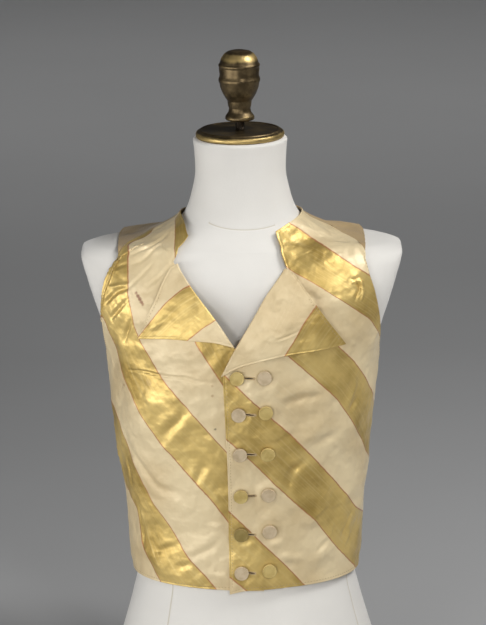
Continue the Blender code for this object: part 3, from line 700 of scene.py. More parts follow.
def crease_height(points, lines):
    """How far creases raise or sink the cloth: lines are (points in millimetres, half width, height)."""
    total = np.zeros(points.shape[:-1])
    for line, half_width, height in lines:
        line = closer(line, 1.0)
        reach = 2.5 * CREASE_SHOULDER_WIDTH * half_width
        near = ((points > line.min(axis=0) - reach) & (points < line.max(axis=0) + reach)).all(axis=-1)
        away, which = nearest(points[near], line)
        taper = np.sqrt(np.sin(np.pi * np.clip(which / (len(line) - 1), 0.02, 0.98)))
        narrow = np.exp(-((away / half_width) ** 2))
        wide = np.exp(-((away / half_width / CREASE_SHOULDER_WIDTH) ** 2))
        total[near] += height * taper * (narrow - CREASE_SHOULDER * wide)
    return total


def crease_lines(table, lift):
    """Creases read from the picture, as lines on the body at a lift."""
    lines = []
    for pixels, half_width, height in table:
        places = resampled(place_of(pixels, lift), CREASE_POINTS)
        lines.append((skin(places, lift), half_width, height * CREASE_GAIN))
    return lines


def waves(points, away):
    """The cloth's gentle waves, which die out towards its edges."""
    total = np.zeros(points.shape[:-1])
    for length in WAVE_LENGTHS:
        values = [noise.noise(Vector(point / length)) for point in points.reshape(-1, 3)]
        total += np.array(values).reshape(total.shape) * WAVE_HEIGHT * length / WAVE_LENGTHS[0]
    return total * fade(away, 0.0, WAVE_EDGE)


def clear_of_buttons(points):
    """0 under the buttons, 1 away from them."""
    centres = np.array([skin(np.array([turn, up]), EASE) for turn, up, _ in FASTENING_BUTTONS + SHOW_BUTTONS])
    return fade(nearest(points, centres)[0], *WAVE_AT_BUTTONS)


def pucker_lines(buttons, lift):
    """Short creases out from each button, at uneven angles."""
    lines = []
    for number, (turn, up, _) in enumerate(buttons):
        for spoke in range(PUCKERS):
            angle = math.tau * (spoke + 0.35 * math.sin(7.0 * number + 3.0 * spoke)) / PUCKERS + number
            reach = PUCKER_TO * (0.75 + 0.25 * math.sin(5.0 * spoke + number))
            ends = [
                (turn + math.cos(angle) * far / FLAT_PER_TURN, up + math.sin(angle) * far)
                for far in (PUCKER_FROM, reach)
            ]
            lines.append((skin(np.array(ends), lift), PUCKER_WIDTH, PUCKER_DEPTH))
    return lines


def turned_edge(away):
    """How far a turned and stitched edge falls below the cloth's own face."""
    inside = np.clip(EDGE_ROUND - away, 0.0, EDGE_ROUND)
    rounding = EDGE_ROUND - np.sqrt(EDGE_ROUND**2 - inside**2)
    return rounding + STITCH_DIP * np.exp(-(((away - STITCH_IN) / STITCH_DIP_WIDTH) ** 2))


# The picture and the body.


def picture_axes():
    """The camera's place, and its right, up and backward directions."""
    back = np.array([0.0, -math.cos(CAMERA_ELEVATION), math.sin(CAMERA_ELEVATION)])
    side = np.array([1.0, 0.0, 0.0])
    up = np.array([0.0, math.sin(CAMERA_ELEVATION), math.cos(CAMERA_ELEVATION)])
    c, s = math.cos(CAMERA_ROLL), math.sin(CAMERA_ROLL)
    return CAMERA_AIM + CAMERA_DISTANCE * back, c * side - s * up, c * up + s * side, back


def seen_at(points):
    """The pixels at which points in millimetres show."""
    eye, side, up, back = picture_axes()
    away = points - eye
    near = CAMERA_DISTANCE / PIXEL_MM / -(away @ back)
    return np.stack([PICTURE[0] / 2 + away @ side * near, PICTURE[1] / 2 - away @ up * near], axis=-1)


def place_of(pixels, lift):
    """The places on the body, at a lift, that show at the given pixels."""
    pixels = np.asarray(pixels, float)
    coarse = np.stack(np.meshgrid(SEARCH_TURNS, SEARCH_UPS), axis=-1).reshape(-1, 2)
    shown = seen_at(skin(coarse, lift))
    places = coarse[np.linalg.norm(shown[None] - pixels[:, None], axis=-1).argmin(axis=1)].copy()
    turn_step, up_step = SEARCH_STEP
    for _ in range(SEARCH_ROUNDS):
        here = seen_at(skin(places, lift))
        by_turn = seen_at(skin(places + (turn_step, 0), lift)) - here
        by_up = seen_at(skin(places + (0, up_step), lift)) - here
        slope = np.stack([by_turn / turn_step, by_up / up_step], axis=-1)
        step = np.linalg.solve(slope + 1e-9 * np.eye(2), (pixels - here)[..., None])[..., 0]
        places += np.clip(step, -SEARCH_REACH, SEARCH_REACH)
    return places


def laid_flat(places):
    """Places as if the body were unrolled, in hundreds of millimetres."""
    return np.asarray(places, float) * (FLAT_PER_TURN / 100, 0.01)


def sheet_through(known, values):
    """A smooth flat-going sheet through known values, read anywhere with the function it returns."""

    def bend(one, other):
        apart = np.linalg.norm(one[:, None] - other[None], axis=-1)
        return apart**2 * np.log(np.maximum(apart, 1e-6))

    count = len(known)
    square = np.zeros((count + 3, count + 3))
    square[:count, :count] = bend(known, known) + LINE_SLACK * np.eye(count)
    level = np.hstack([np.ones((count, 1)), known])
    square[:count, count:], square[count:, :count] = level, level.T
    weights = np.linalg.solve(square, np.concatenate([values, np.zeros(3)]))

    def read(at):
        spots = at.reshape(-1, 2)
        flat = np.hstack([np.ones((len(spots), 1)), spots]) @ weights[count:]
        return (bend(spots, known) @ weights[:count] + flat).reshape(at.shape[:-1])

    return read


def stripes_from(lines, lift, extra=()):
    """The function that tells how far across the stripes a place lies, from lines in the picture."""
    known, values = [], []
    for across, pixels in lines.items():
        places = laid_flat(place_of(closer(pixels, LINE_POINTS_APART), lift))
        back = min(LINE_END_POINTS, len(places) - 1)
        for end, inner in ((places[0], places[back]), (places[-1], places[-1 - back])):
            onward = (end - inner) / np.linalg.norm(end - inner)
            known += [end + onward * far / 100 for far in LINE_RUN_ON]
            values += [float(across)] * len(LINE_RUN_ON)
        known += list(places)
        values += [float(across)] * len(places)
        for shift, more in extra:
            known += list(places + np.array(shift) / 100)
            values += [float(across) + more] * len(places)
    return sheet_through(np.array(known), np.array(values))


def chest_set_back(places):
    """How far the form's own surface lies behind its even shape, at the chest behind the opening."""
    beside = fade(np.abs(places[..., 0] - CHEST_TURN), CHEST_HALF_TURN, CHEST_FADE_TURN)
    below = 1 - fade(places[..., 1], CHEST_UPS[0] - CHEST_FADE_UP, CHEST_FADE_UP)
    above = fade(places[..., 1], CHEST_UPS[1], CHEST_FADE_UP)
    return CHEST_DEPTH * (1 - beside) * (1 - below) * (1 - above)


# Making meshes.


def piece_from(name, mesh, finish):
    """A new object at the origin with one finish."""
    made = bpy.data.objects.new(name, mesh)
    bpy.context.scene.collection.objects.link(made)
    mesh.materials.clear()
    mesh.materials.append(finish)
    mesh.shade_smooth()
    return made


def mesh_of(name, shape):
    """A new mesh from a finished shape."""
    mesh = bpy.data.meshes.new(name)
    shape.to_mesh(mesh)
    shape.free()
    return mesh


def add_grid(sheet, points, weave=None, weave_layer=None):
    """Adds a sheet of faces through points [column, row], in metres, facing column x row."""
    columns, rows = points.shape[0] - 1, points.shape[1] - 1
    grid = bmesh.ops.create_grid(sheet, x_segments=columns, y_segments=rows, size=0.5)
    spots = {}
    for vertex in grid["verts"]:
        spot = round((vertex.co.x + 0.5) * columns), round((vertex.co.y + 0.5) * rows)
        spots[vertex] = spot
        vertex.co = Vector(points[spot])
    if weave is not None:
        for vertex, spot in spots.items():
            for loop in vertex.link_loops:
                loop[weave_layer].uv = weave[spot]


def cloth(name, sheets, wall, finish):
    """A panel of cloth: sheets are (points in millimetres, weave places in millimetres)."""
    panel = bmesh.new()
    layer = panel.loops.layers.uv.new("weave")
    for points, weave in sheets:
        add_grid(panel, points * MM, weave * MM, layer)
    bmesh.ops.remove_doubles(panel, verts=panel.verts, dist=WELD * MM)
    made = piece_from(name, mesh_of(name, panel), finish)
    shell = made.modifiers.new("wall", "SOLIDIFY")
    shell.thickness = wall * MM
    shell.offset = -1.0
    bpy.context.view_layer.objects.active = made
    made.select_set(True)
    bpy.ops.object.modifier_apply(modifier=shell.name)
    made.select_set(False)
    return made


# Finishes.


def finish_start(name, colour, roughness, metallic=0.0):
    """A new finish with its shader set, and a short way to add and join nodes in it."""
    made = bpy.data.materials.new(name)
    made.use_nodes = True
    tree = made.node_tree
    shader = tree.nodes["Principled BSDF"]
    shader.inputs["Base Color"].default_value = (*colour, 1.0)
    shader.inputs["Roughness"].default_value = roughness
    shader.inputs["Metallic"].default_value = metallic

    def add(kind, settings=None, **joined):
        node = tree.nodes.new(kind)
        for key, value in (settings or {}).items():
            if isinstance(key, str) and hasattr(node, key):
                setattr(node, key, value)
            else:
                node.inputs[key].default_value = value
        for key, source in joined.items():
            socket = node.inputs[int(key[1:])] if key[0] == "n" and key[1:].isdigit() else node.inputs[key]
            tree.links.new(source, socket)
        return node

    def join(source, name):
        tree.links.new(source, shader.inputs[name])

    return made, shader, add, join


def maths(add, operation, one, other=None):
    """One sum on a value, and on another value or number."""
    node = add("ShaderNodeMath", {"operation": operation}, n0=one)
    if other is not None:
        if isinstance(other, (int, float)):
            node.inputs[1].default_value = other
        else:
            node.id_data.links.new(other, node.inputs[1])
    return node.outputs[0]


def between(add, value, low, high, to_low=0.0, to_high=1.0):
    """A value eased from one range to another."""
    settings = {"interpolation_type": "SMOOTHSTEP", 1: low, 2: high, 3: to_low, 4: to_high}
    return add("ShaderNodeMapRange", settings, n0=value).outputs[0]


def blended(add, share, one, other):
    """Two colours, or values of colour sockets, blended by a share."""
    node = add("ShaderNodeMix", {"data_type": "RGBA"})
    tree = node.id_data
    if isinstance(share, (int, float)):
        node.inputs[0].default_value = share
    else:
        tree.links.new(share, node.inputs[0])
    for socket, colour in ((node.inputs[6], one), (node.inputs[7], other)):
        if isinstance(colour, tuple):
            socket.default_value = (*colour, 1.0)
        else:
            tree.links.new(colour, socket)
    return node.outputs[2]


def cloudy(add, coordinates, scale, detail=3.0, roughness=0.55, stretch=None):
    """Soft noise over a surface, from 0 to 1; stretch scales each of its directions."""
    if stretch is not None:
        coordinates = add("ShaderNodeMapping", {"Scale": stretch}, Vector=coordinates).outputs[0]
    settings = {"Scale": scale, "Detail": detail, "Roughness": roughness}
    return add("ShaderNodeTexNoise", settings, Vector=coordinates).outputs[0]


def on_body(add):
    """Places on the part, in metres."""
    return add("ShaderNodeTexCoord").outputs["Object"]


def along_map(add, name):
    """Places in one of a piece's own flat maps."""
    return add("ShaderNodeUVMap", {"uv_map": name}).outputs[0]


def far_from(add, value, number):
    """How far a value is from a number, or from another value."""
    return maths(add, "ABSOLUTE", maths(add, "SUBTRACT", value, number))


def raised(add, join, layers):
    """Bumps: each layer is (height, distance in millimetres, strength)."""
    below = {}
    for height, distance, strength in layers:
        settings = {"Distance": distance * MM, "Strength": strength}
        below = {"Normal": add("ShaderNodeBump", settings, Height=height, **below).outputs[0]}
    join(below["Normal"], "Normal")


# The satin's colours: each has a worn tone that comes in patches, and a bright tone laid on in thin bands along the
# weave as painted sheen.
GOLD = (0.770, 0.560, 0.195)
GOLD_DEEP = (0.430, 0.287, 0.072)
GOLD_PAINTED_SHEEN = (0.890, 0.735, 0.360)
CREAM = (0.790, 0.645, 0.395)
CREAM_DULL = (0.600, 0.455, 0.245)
CREAM_PAINTED_SHEEN = (0.880, 0.770, 0.520)
RUST = (0.450, 0.175, 0.070)


def satin_bumps(add, join, weave, ground):
    """The fine ribbing and old creasing of silk satin."""
    ribs = cloudy(add, weave, 1.0, 1.0, 0.5, (2600.0, 500.0, 1.0))
    crumple = cloudy(add, ground, 95.0, 4.0, 0.6)
    slubs = cloudy(add, weave, 1.0, 2.0, 0.5, (700.0, 60.0, 1.0))
    cracks = cloudy(add, ground, 290.0, 3.0, 0.6)
    swell = cloudy(add, ground, 38.0, 2.0, 0.5)
    layers = [(swell, 5.0, 0.8), (crumple, 1.6, 0.36), (cracks, 0.7, 0.3), (slubs, 0.35, 0.25), (ribs, 0.10, 0.35)]
    raised(add, join, layers)


def satin_stains_and_painted_shade(add, ground, cloth_colour):
    """The satin's colour with its stains and the painted shade round its buttons."""
    ragged = maths(add, "MULTIPLY", cloudy(add, ground, 500.0, 3.0), 2.0 * MM)
    marks = [dict(zip(MARK_COLUMNS, values)) for values in MARKS]
    for mark in marks:
        mark["place"] = place_of([mark["pixel"]], MARK_LIFT)[0]
    # Painted shade: a dark ring round each button, standing in for the shadow the button casts on the cloth.
    for turn, up, _ in FASTENING_BUTTONS + SHOW_BUTTONS:
        marks.append({"place": np.array([turn, up]), **BUTTON_PAINTED_SHADE})
    for mark in marks:
        settings = {"operation": "DISTANCE", 1: tuple(skin(mark["place"], MARK_LIFT) * MM)}
        away = add("ShaderNodeVectorMath", settings, n0=ground).outputs["Value"]
        inner, outer = MARK_CORE * mark["radius"] * MM, (mark["radius"] + MARK_FADE) * MM
        share = between(add, maths(add, "ADD", away, ragged), inner, outer, mark["strength"], 0.0)
        cloth_colour = blended(add, share, cloth_colour, mark["colour"])
    return cloth_colour


def striped_satin():
    """Gold and cream satin in wide stripes, with a thin rust line where they meet."""
    made, shader, add, join = finish_start("striped_satin", GOLD, 0.4)
    weave, ground = along_map(add, "weave"), on_body(add)
    split = add("ShaderNodeSeparateXYZ", n0=weave)
    wander = between(add, cloudy(add, ground, 160.0, 2.0), 0.2, 0.8, -0.00022, 0.00022)
    across = maths(add, "ADD", split.outputs[0], wander)
    wrapped = {"operation": "WRAP", 1: STRIPE_REPEAT * MM, 2: 0.0}
    repeat = add("ShaderNodeMath", wrapped, n0=across).outputs[0]
    to_start = maths(add, "MINIMUM", repeat, far_from(add, repeat, STRIPE_REPEAT * MM))
    to_line = maths(add, "MINIMUM", far_from(add, repeat, GOLD_WIDTH * MM), to_start)
    in_gold = between(add, repeat, (GOLD_WIDTH - 0.2) * MM, (GOLD_WIDTH + 0.2) * MM, 1.0, 0.0)
    on_line = between(add, to_line, 0.45 * LINE_HALF_WIDTH * MM, 1.35 * LINE_HALF_WIDTH * MM, 0.85, 0.0)

    clouds = cloudy(add, ground, 14.0, 4.0)
    # Painted sheen: bright bands along the weave that stand in for the satin's highlights.
    sheen_streaks = cloudy(add, weave, 1.0, 3.0, 0.6, (420.0, 9.0, 1.0))
    gold = blended(add, between(add, clouds, 0.38, 0.68), GOLD, GOLD_DEEP)
    gold = blended(add, between(add, sheen_streaks, 0.45, 0.8, 0.0, 0.3), gold, GOLD_PAINTED_SHEEN)
    cream = blended(add, between(add, clouds, 0.35, 0.8), CREAM, CREAM_DULL)
    cream = blended(add, between(add, sheen_streaks, 0.5, 0.85, 0.0, 0.15), cream, CREAM_PAINTED_SHEEN)
    cloth_colour = blended(add, on_line, blended(add, in_gold, cream, gold), RUST)
    join(satin_stains_and_painted_shade(add, ground, cloth_colour), "Base Color")
    join(between(add, in_gold, 0.0, 1.0, 0.12, 0.55), "Metallic")
    dull = between(add, clouds, 0.2, 0.8, -0.05, 0.06)
    join(maths(add, "ADD", between(add, in_gold, 0.0, 1.0, 0.46, 0.44), dull), "Roughness")
    shader.inputs["Anisotropic"].default_value = 0.4
    shader.inputs["Sheen Weight"].default_value = 0.12
    shader.inputs["Sheen Roughness"].default_value = 0.4
    tangent = add("ShaderNodeTangent", {"direction_type": "UV_MAP", "uv_map": "weave"})
    join(tangent.outputs[0], "Tangent")
    satin_bumps(add, join, weave, ground)
    return made


def plain_satin(name, colour, other, roughness, metallic):
    """Satin of one colour, for the covered buttons."""
    made, shader, add, join = finish_start(name, colour, roughness, metallic)
    ground = on_body(add)
    clouds = cloudy(add, ground, 120.0, 3.0)
    join(blended(add, between(add, clouds, 0.35, 0.75), colour, other), "Base Color")
    shader.inputs["Sheen Weight"].default_value = 0.12
    ribs = cloudy(add, ground, 1.0, 1.0, 0.5, (2400.0, 2400.0, 600.0))
    raised(add, join, [(cloudy(add, ground, 260.0), 0.8, 0.25), (ribs, 0.1, 0.4)])
    return made


def tan_cotton():
    """The plain tan cotton of the back, with its weave."""
    colour, other = (0.45, 0.315, 0.145), (0.36, 0.245, 0.11)
    made, shader, add, join = finish_start("tan_cotton", colour, 0.8)
    weave, ground = along_map(add, "weave"), on_body(add)
    clouds = cloudy(add, ground, 11.0, 5.0)
    join(blended(add, between(add, clouds, 0.3, 0.75), colour, other), "Base Color")
    shader.inputs["Sheen Weight"].default_value = 0.2
    threads = []
    for way in ("X", "Y"):
        settings = {"wave_type": "BANDS", "bands_direction": way, "Scale": 350.0, "Distortion": 2.0, "Detail": 1.0}
        threads.append(add("ShaderNodeTexWave", settings, Vector=weave).outputs[1])
    both = maths(add, "MAXIMUM", *threads)
    raised(add, join, [(cloudy(add, ground, 60.0, 4.0), 1.2, 0.25), (both, 0.15, 0.5)])
    return made


def jersey_seams(add):
    """How far the knitted cover's nearest seam is, in metres."""
    split = add("ShaderNodeSeparateXYZ", n0=along_map(add, "body"))
    round_body, up_body = split.outputs[0], split.outputs[1]
    down = [
        far_from(add, round_body, float(turn) * FLAT_PER_TURN * MM)
        for turn in place_of(FORM_SEAM_PIXELS, 0.0)[:, 0]
    ]
    neck = place_of(NECK_SEAM_PIXELS, 0.0)
    bend = [float(share) for share in np.polyfit(neck[:, 0] * FLAT_PER_TURN * MM, neck[:, 1] * MM, 2)]
    slope = maths(add, "ADD", maths(add, "MULTIPLY", round_body, bend[0]), bend[1])
    curve = maths(add, "ADD", maths(add, "MULTIPLY", slope, round_body), bend[2])
    low = between(add, up_body, SEAM_TOP * MM, (SEAM_TOP + 5.0) * MM, 0.0, SEAM_FAR)
    aside = maths(add, "ABSOLUTE", round_body)
    wide = between(add, aside, NECK_SEAM_REACH * MM, (NECK_SEAM_REACH + 5.0) * MM, 0.0, SEAM_FAR)
    down_front = maths(add, "ADD", maths(add, "MINIMUM", *down), low)
    round_neck = maths(add, "ADD", far_from(add, up_body, curve), wide)
    return maths(add, "MINIMUM", down_front, round_neck)


def white_jersey():
    """The form's knitted cover."""
    colour, other = (0.76, 0.735, 0.685), (0.70, 0.675, 0.63)
    made, shader, add, join = finish_start("white_jersey", colour, 0.9)
    ground = on_body(add)
    cover = blended(add, between(add, cloudy(add, ground, 7.0, 4.0), 0.3, 0.8), colour, other)
    shader.inputs["Sheen Weight"].default_value = 0.25
    apart = jersey_seams(add)
    seam = between(add, apart, 0.0004, 0.0014, 1.0, 0.0)
    welt = between(add, apart, 0.0, 0.004, 0.0, 1.0)
    join(blended(add, maths(add, "MULTIPLY", seam, 0.55), cover, (0.50, 0.43, 0.30)), "Base Color")
    knit = cloudy(add, ground, 1.0, 1.0, 0.5, (900.0, 900.0, 600.0))
    raised(add, join, [(welt, 0.5, 0.6), (knit, 0.2, 0.5)])
    return made


def aged_brass():
    """Old brass: brown and dull, and bright where hands and edges have worn it."""
    made, shader, add, join = finish_start("aged_brass", (0.12, 0.085, 0.04), 0.42, 0.9)
    ground = on_body(add)
    worn = add("ShaderNodeAttribute", {"attribute_name": "worn"}).outputs["Fac"]
    clouds = cloudy(add, ground, 70.0, 5.0, 0.65)
    share = between(add, maths(add, "ADD", worn, maths(add, "MULTIPLY", clouds, 0.7)), 0.55, 1.15)
    dark = blended(add, between(add, clouds, 0.35, 0.7), (0.085, 0.06, 0.03), (0.18, 0.13, 0.065))
    join(blended(add, share, dark, (0.55, 0.40, 0.16)), "Base Color")
    join(between(add, clouds, 0.2, 0.8, 0.32, 0.55), "Roughness")
    raised(add, join, [(cloudy(add, ground, 220.0, 4.0), 0.3, 0.3)])
    return made


def mottled(name, colours, scale, roughness, metallic=0.0, sheen=0.0):
    """A plain finish whose colour wanders between two tones."""
    made, shader, add, join = finish_start(name, colours[0], roughness, metallic)
    join(blended(add, cloudy(add, on_body(add), scale), *colours), "Base Color")
    shader.inputs["Sheen Weight"].default_value = sheen
    return made


SATIN = striped_satin()
COVERS = {
    "gold": plain_satin("gold_satin", (0.58, 0.44, 0.16), (0.46, 0.33, 0.10), 0.42, 0.15),
    "cream": plain_satin("cream_satin", (0.58, 0.46, 0.30), (0.46, 0.35, 0.21), 0.5, 0.05),
    "dark": plain_satin("worn_gold_satin", (0.26, 0.19, 0.05), (0.34, 0.25, 0.08), 0.45, 0.2),
}
TAN = tan_cotton()
JERSEY = white_jersey()
BRASS = aged_brass()
STEEL = mottled("dark_steel", ((0.05, 0.045, 0.04), (0.12, 0.09, 0.06)), 300.0, 0.45, 0.9)
THREAD = mottled("silk_thread", ((0.58, 0.44, 0.24), (0.36, 0.24, 0.10)), 400.0, 0.55, sheen=0.3)
# Painted shade: a near-black finish for the buttonhole slits, standing in for the shadow inside them.
SLIT_SHADE = finish_start("slit_shadow", (0.03, 0.022, 0.012), 0.9)[0]


# The pieces.


def weave_for(places, stripes=None):
    """Where each place lies in the weave: across the stripes, and along them."""
    if stripes is None:
        return places * (FLAT_PER_TURN, 1.0)
    along = (places * (FLAT_PER_TURN, 1.0)) @ ALONG_STRIPES
    return np.stack([stripes(laid_flat(places)), along], axis=-1)


def front_sheet(places, lift_of, stripes, creases, flip):
    """A front's outer points and weave, creased and with its edges turned, facing outward."""
    lift = lift_of(places)
    points = skin(places, lift)
    away = from_edges(points)
    lift = lift + clear_of_buttons(points) * (waves(points, away) + crease_height(points, creases))
    points, weave = skin(places, lift - turned_edge(away)), weave_for(places, stripes)
    return (points[::-1], weave[::-1]) if flip else (points, weave)


def lapel_sheet(places, lift_of, stripes, creases, side):
    """A lapel's outer points and weave, rolled over the front's edge at its fold."""
    across = np.linspace(0, 1, LAPEL_COLUMNS + 1)[:, None]
    up_from_foot = np.linspace(0, 1, LAPEL_ROWS + 1)[None, :]
    free = across**2 * (1 - fade(up_from_foot, LAPEL_FLAT_FROM, LAPEL_FLAT_OVER))
    rise = LAYER_GAP + LAPEL_WALL + LAPEL_LIFT_AT_EDGE * free
    numbers = np.stack(np.broadcast_arrays(places[..., 0], places[..., 1], rise), axis=-1)
    numbers = edge_stepped(numbers, (False, True, True, True))
    places, rise = numbers[..., :2], numbers[..., 2]
    lift = lift_of(places) + rise
    points = skin(places, lift)
    lift = lift - turned_edge(from_edges(points, (False, True, True, True))) + crease_height(points, creases)
    lift = lift + np.maximum(waves(points, np.full(points.shape[:-1], WAVE_EDGE)), LAPEL_SINK)
    points = skin(places, lift)

    fold = places[0]
    out = outward(fold)
    toward = points[1] - points[0]
    toward -= (toward * out).sum(axis=-1, keepdims=True) * out
    toward /= np.linalg.norm(toward, axis=-1, keepdims=True)
    reach = (rise[0] + FRONT_WALL) / 2
    centre = points[0] - reach[:, None] * out
    angles = np.radians(ROLL_ANGLES)[:, None, None]
    roll = centre + reach[:, None] * (np.cos(angles) * out - np.sin(angles) * toward)
    step = places[1] - places[0]
    step /= np.linalg.norm(points[1] - points[0], axis=-1, keepdims=True)
    rolled = fold - step * (np.radians(ROLL_ANGLES)[:, None, None] * reach[:, None])
    points = np.concatenate([roll, points])
    weave = weave_for(np.concatenate([rolled, places]), stripes)
    return (points[::-1], weave[::-1]) if side < 0 else (points, weave)


def spun(name, profile, finish, foot, bevel):
    """A turned piece: its profile in millimetres, spun round the vertical axis and its corners eased."""
    mesh = bpy.data.meshes.new(name)
    corners = [(radius * MM, 0.0, (foot + height) * MM) for radius, height in profile]
    mesh.from_pydata(corners, [(i, i + 1) for i in range(len(corners) - 1)], [])
    made = piece_from(name, mesh, finish)
    bpy.context.view_layer.objects.active = made
    made.select_set(True)
    bpy.ops.object.mode_set(mode="EDIT")
    bpy.ops.mesh.select_all(action="SELECT")
    bpy.ops.mesh.spin(steps=TURNED_STEPS, angle=2 * math.pi, center=(0, 0, 0), axis=(0, 0, 1))
    bpy.ops.mesh.select_all(action="SELECT")
    bpy.ops.mesh.remove_doubles(threshold=1e-5)
    bpy.ops.mesh.normals_make_consistent(inside=False)
    bpy.ops.object.mode_set(mode="OBJECT")
    ease_corners = made.modifiers.new("ease", "BEVEL")
    ease_corners.width = bevel * MM
    ease_corners.segments = 2
    ease_corners.limit_method = "ANGLE"
    ease_corners.angle_limit = math.radians(24)
    bpy.ops.object.modifier_apply(modifier=ease_corners.name)
    made.select_set(False)
    made.data.shade_smooth()
    return made


def mark_wear(made, profile, foot):
    """Notes on a turned piece how worn each point is: rims that stand out are brightest."""
    heights = np.array([height for _, height in profile[::-1]][1:-1], float)
    radii = np.array([radius for radius, _ in profile[::-1]][1:-1], float)
    order = np.argsort(heights, kind="stable")
    heights, radii = heights[order], radii[order]
    worn = made.data.attributes.new("worn", "FLOAT", "POINT")
    for vertex in made.data.vertices:
        height = vertex.co.z / MM - foot
        near = np.abs(heights - height) < 9.0
        typical = radii[near].mean() if near.any() else 0.0
        worn.data[vertex.index].value = float(np.clip((math.hypot(*vertex.co.xy) / MM - typical) / 4.0, 0, 1))


def button_seat(turn, up):
    """The frame on the left front's outer face at (turn, up), its Z axis pointing out."""
    place = np.array([turn, up])
    lift = left_front_lift(place) + PIECE_GAP
    centre = skin(place, lift)
    out = Vector(outward(place)).normalized()
    side = out.cross(Vector((0.0, 0.0, -1.0))).normalized()
    seat = Matrix((side, out.cross(side), out)).transposed().to_4x4()
    return Matrix.Translation(Vector(centre * MM)) @ seat


def button_master():
    """One covered button at the origin: a flat disc, a raised rim round it, and cloth drawn in beneath."""
    bpy.ops.mesh.primitive_cylinder_add(
        vertices=48, radius=BUTTON_RADIUS * MM, depth=BUTTON_DEPTH * MM, location=(0, 0, BUTTON_MIDDLE * MM)
    )
    made = bpy.context.object
    bpy.ops.object.transform_apply(location=True, rotation=True, scale=True)
    bpy.ops.object.mode_set(mode="EDIT")
    shape = bmesh.from_edit_mesh(made.data)
    bpy.ops.mesh.select_all(action="DESELECT")
    for face in shape.faces:
        face.select_set(face.normal.z > 0.9)
    for inset, rise in BUTTON_STEPS:
        bpy.ops.mesh.inset(thickness=inset * MM)
        bpy.ops.transform.translate(value=(0, 0, rise * MM))
    bpy.ops.mesh.poke()
    bpy.ops.mesh.select_all(action="DESELECT")
    for face in shape.faces:
        face.select_set(face.normal.z < -0.9)
    bpy.ops.mesh.inset(thickness=0.9 * MM)
    bpy.ops.transform.translate(value=(0, 0, -0.8 * MM))
    bpy.ops.mesh.inset(thickness=4.0 * MM)
    bmesh.update_edit_mesh(made.data)
    bpy.ops.object.mode_set(mode="OBJECT")
    soften = made.modifiers.new("soften", "BEVEL")
    soften.width, soften.segments = 0.35 * MM, 2
    soften.limit_method, soften.angle_limit = "ANGLE", math.radians(30)
    bpy.ops.object.modifier_apply(modifier=soften.name)
    made.select_set(False)
    return made


def covered_button(name, master, seat, cover, number):
    """A copy of the button on its seat, turned a little so that no two lie alike."""
    mesh = master.data.copy()
    mesh.transform(seat @ Matrix.Rotation(number * 1.3, 4, "Z"))
    return piece_from(name, mesh, COVERS[cover])


def laid_on(made):
    """A function that finds how far a piece's outer face stands off the form at each place."""
    tree = BVHTree.FromPolygons(
        [vertex.co for vertex in made.data.vertices], [tuple(face.vertices) for face in made.data.polygons]
    )

    def lift_at(places):
        places = np.asarray(places, float)
        starts, inward = skin(places, SEARCH_LIFT), -outward(places)
        found = []
        for start, way in zip(starts.reshape(-1, 3), inward.reshape(-1, 3)):
            away = tree.ray_cast(Vector(start * MM), Vector(way))[3]
            found.append(EASE if away is None else SEARCH_LIFT - away / MM)
        return np.array(found).reshape(places.shape[:-1])

    return lift_at


def inset_line(places, lift_of, inset):
    """The line that runs this far in from a grid's first column, as one place for each row."""
    points = skin(places, lift_of(places))
    far = np.cumsum(np.linalg.norm(np.diff(points, axis=0), axis=-1), axis=0)
    line = []
    for row in range(places.shape[1]):
        reach = np.concatenate([[0.0], far[:, row]])
        line.append([np.interp(inset, reach, places[:, row, axis]) for axis in (0, 1)])
    return np.array(line)


def stitch_master():
    """One hand stitch at the origin: a short, thick thread."""
    bpy.ops.mesh.primitive_uv_sphere_add(segments=6, ring_count=5, radius=STITCH_RADIUS * MM)
    made = bpy.context.object
    bpy.ops.object.mode_set(mode="EDIT")
    bpy.ops.mesh.select_all(action="SELECT")
    bpy.ops.transform.resize(value=(STITCH_LENGTH / STITCH_RADIUS / 2, 1.0, 1.0))
    bpy.ops.object.mode_set(mode="OBJECT")
    made.select_set(False)
    return made


def stitches(name, master, rows, lift_at):
    """Stitches along rows of places on a piece of cloth, as one piece."""
    shape = np.array([vertex.co for vertex in master.data.vertices])
    shape_faces = [tuple(face.vertices) for face in master.data.polygons]
    corners, faces = [], []
    for line in rows:
        length = np.linalg.norm(np.diff(skin(line), axis=0), axis=1).sum()
        spots = resampled(line, max(2, round(length / STITCH_APART)))
        points = skin(spots, lift_at(spots))
        for index in range(1, len(spots) - 1):
            out = Vector(outward(spots[index]))
            along = Vector(points[index + 1] - points[index - 1]).normalized()
            side = out.cross(along).normalized()
            lie = np.array((side.cross(out), side, out))
            first = len(corners) * len(shape)
            faces += [tuple(first + corner for corner in face) for face in shape_faces]
            corners.append(points[index] * MM + shape @ lie)
    mesh = bpy.data.meshes.new(name)
    mesh.from_pydata(np.concatenate(corners), [], faces)
    return piece_from(name, mesh, THREAD)


def in_buttonhole(button, along, across, lift_at, lift):
    """A point, in metres, in a button's buttonhole, from millimetres along and across its middle."""
    turn, up, _ = button
    middle = BUTTONHOLE["from"] + BUTTONHOLE["length"] / 2
    place = np.array([turn + (middle + along) / FLAT_PER_TURN, up + across + BUTTONHOLE["slope"] * along])
    return Vector(skin(place, float(lift_at(place)) + lift) * MM)


def thread_ring(button, lift_at):
    """The ring of thread worked round a buttonhole."""
    half_width = BUTTONHOLE["half_width"]
    bpy.ops.mesh.primitive_torus_add(
        major_segments=44, minor_segments=8, major_radius=half_width * MM, minor_radius=BUTTONHOLE["thread"] * MM
    )
    ring = bpy.context.object
    stretch = BUTTONHOLE["length"] / 2 - half_width
    for vertex in ring.data.vertices:
        x, y, z = (value / MM for value in vertex.co)
        x += math.copysign(stretch * min(1.0, abs(x) / half_width * BUTTONHOLE["end_share"]), x)
        ribs = 1.0 + BUTTONHOLE["ribbing"] * math.sin(x * BUTTONHOLE["rib_turn"])
        vertex.co = in_buttonhole(button, x, y, lift_at, BUTTONHOLE["lift"] + z * ribs)
    return ring


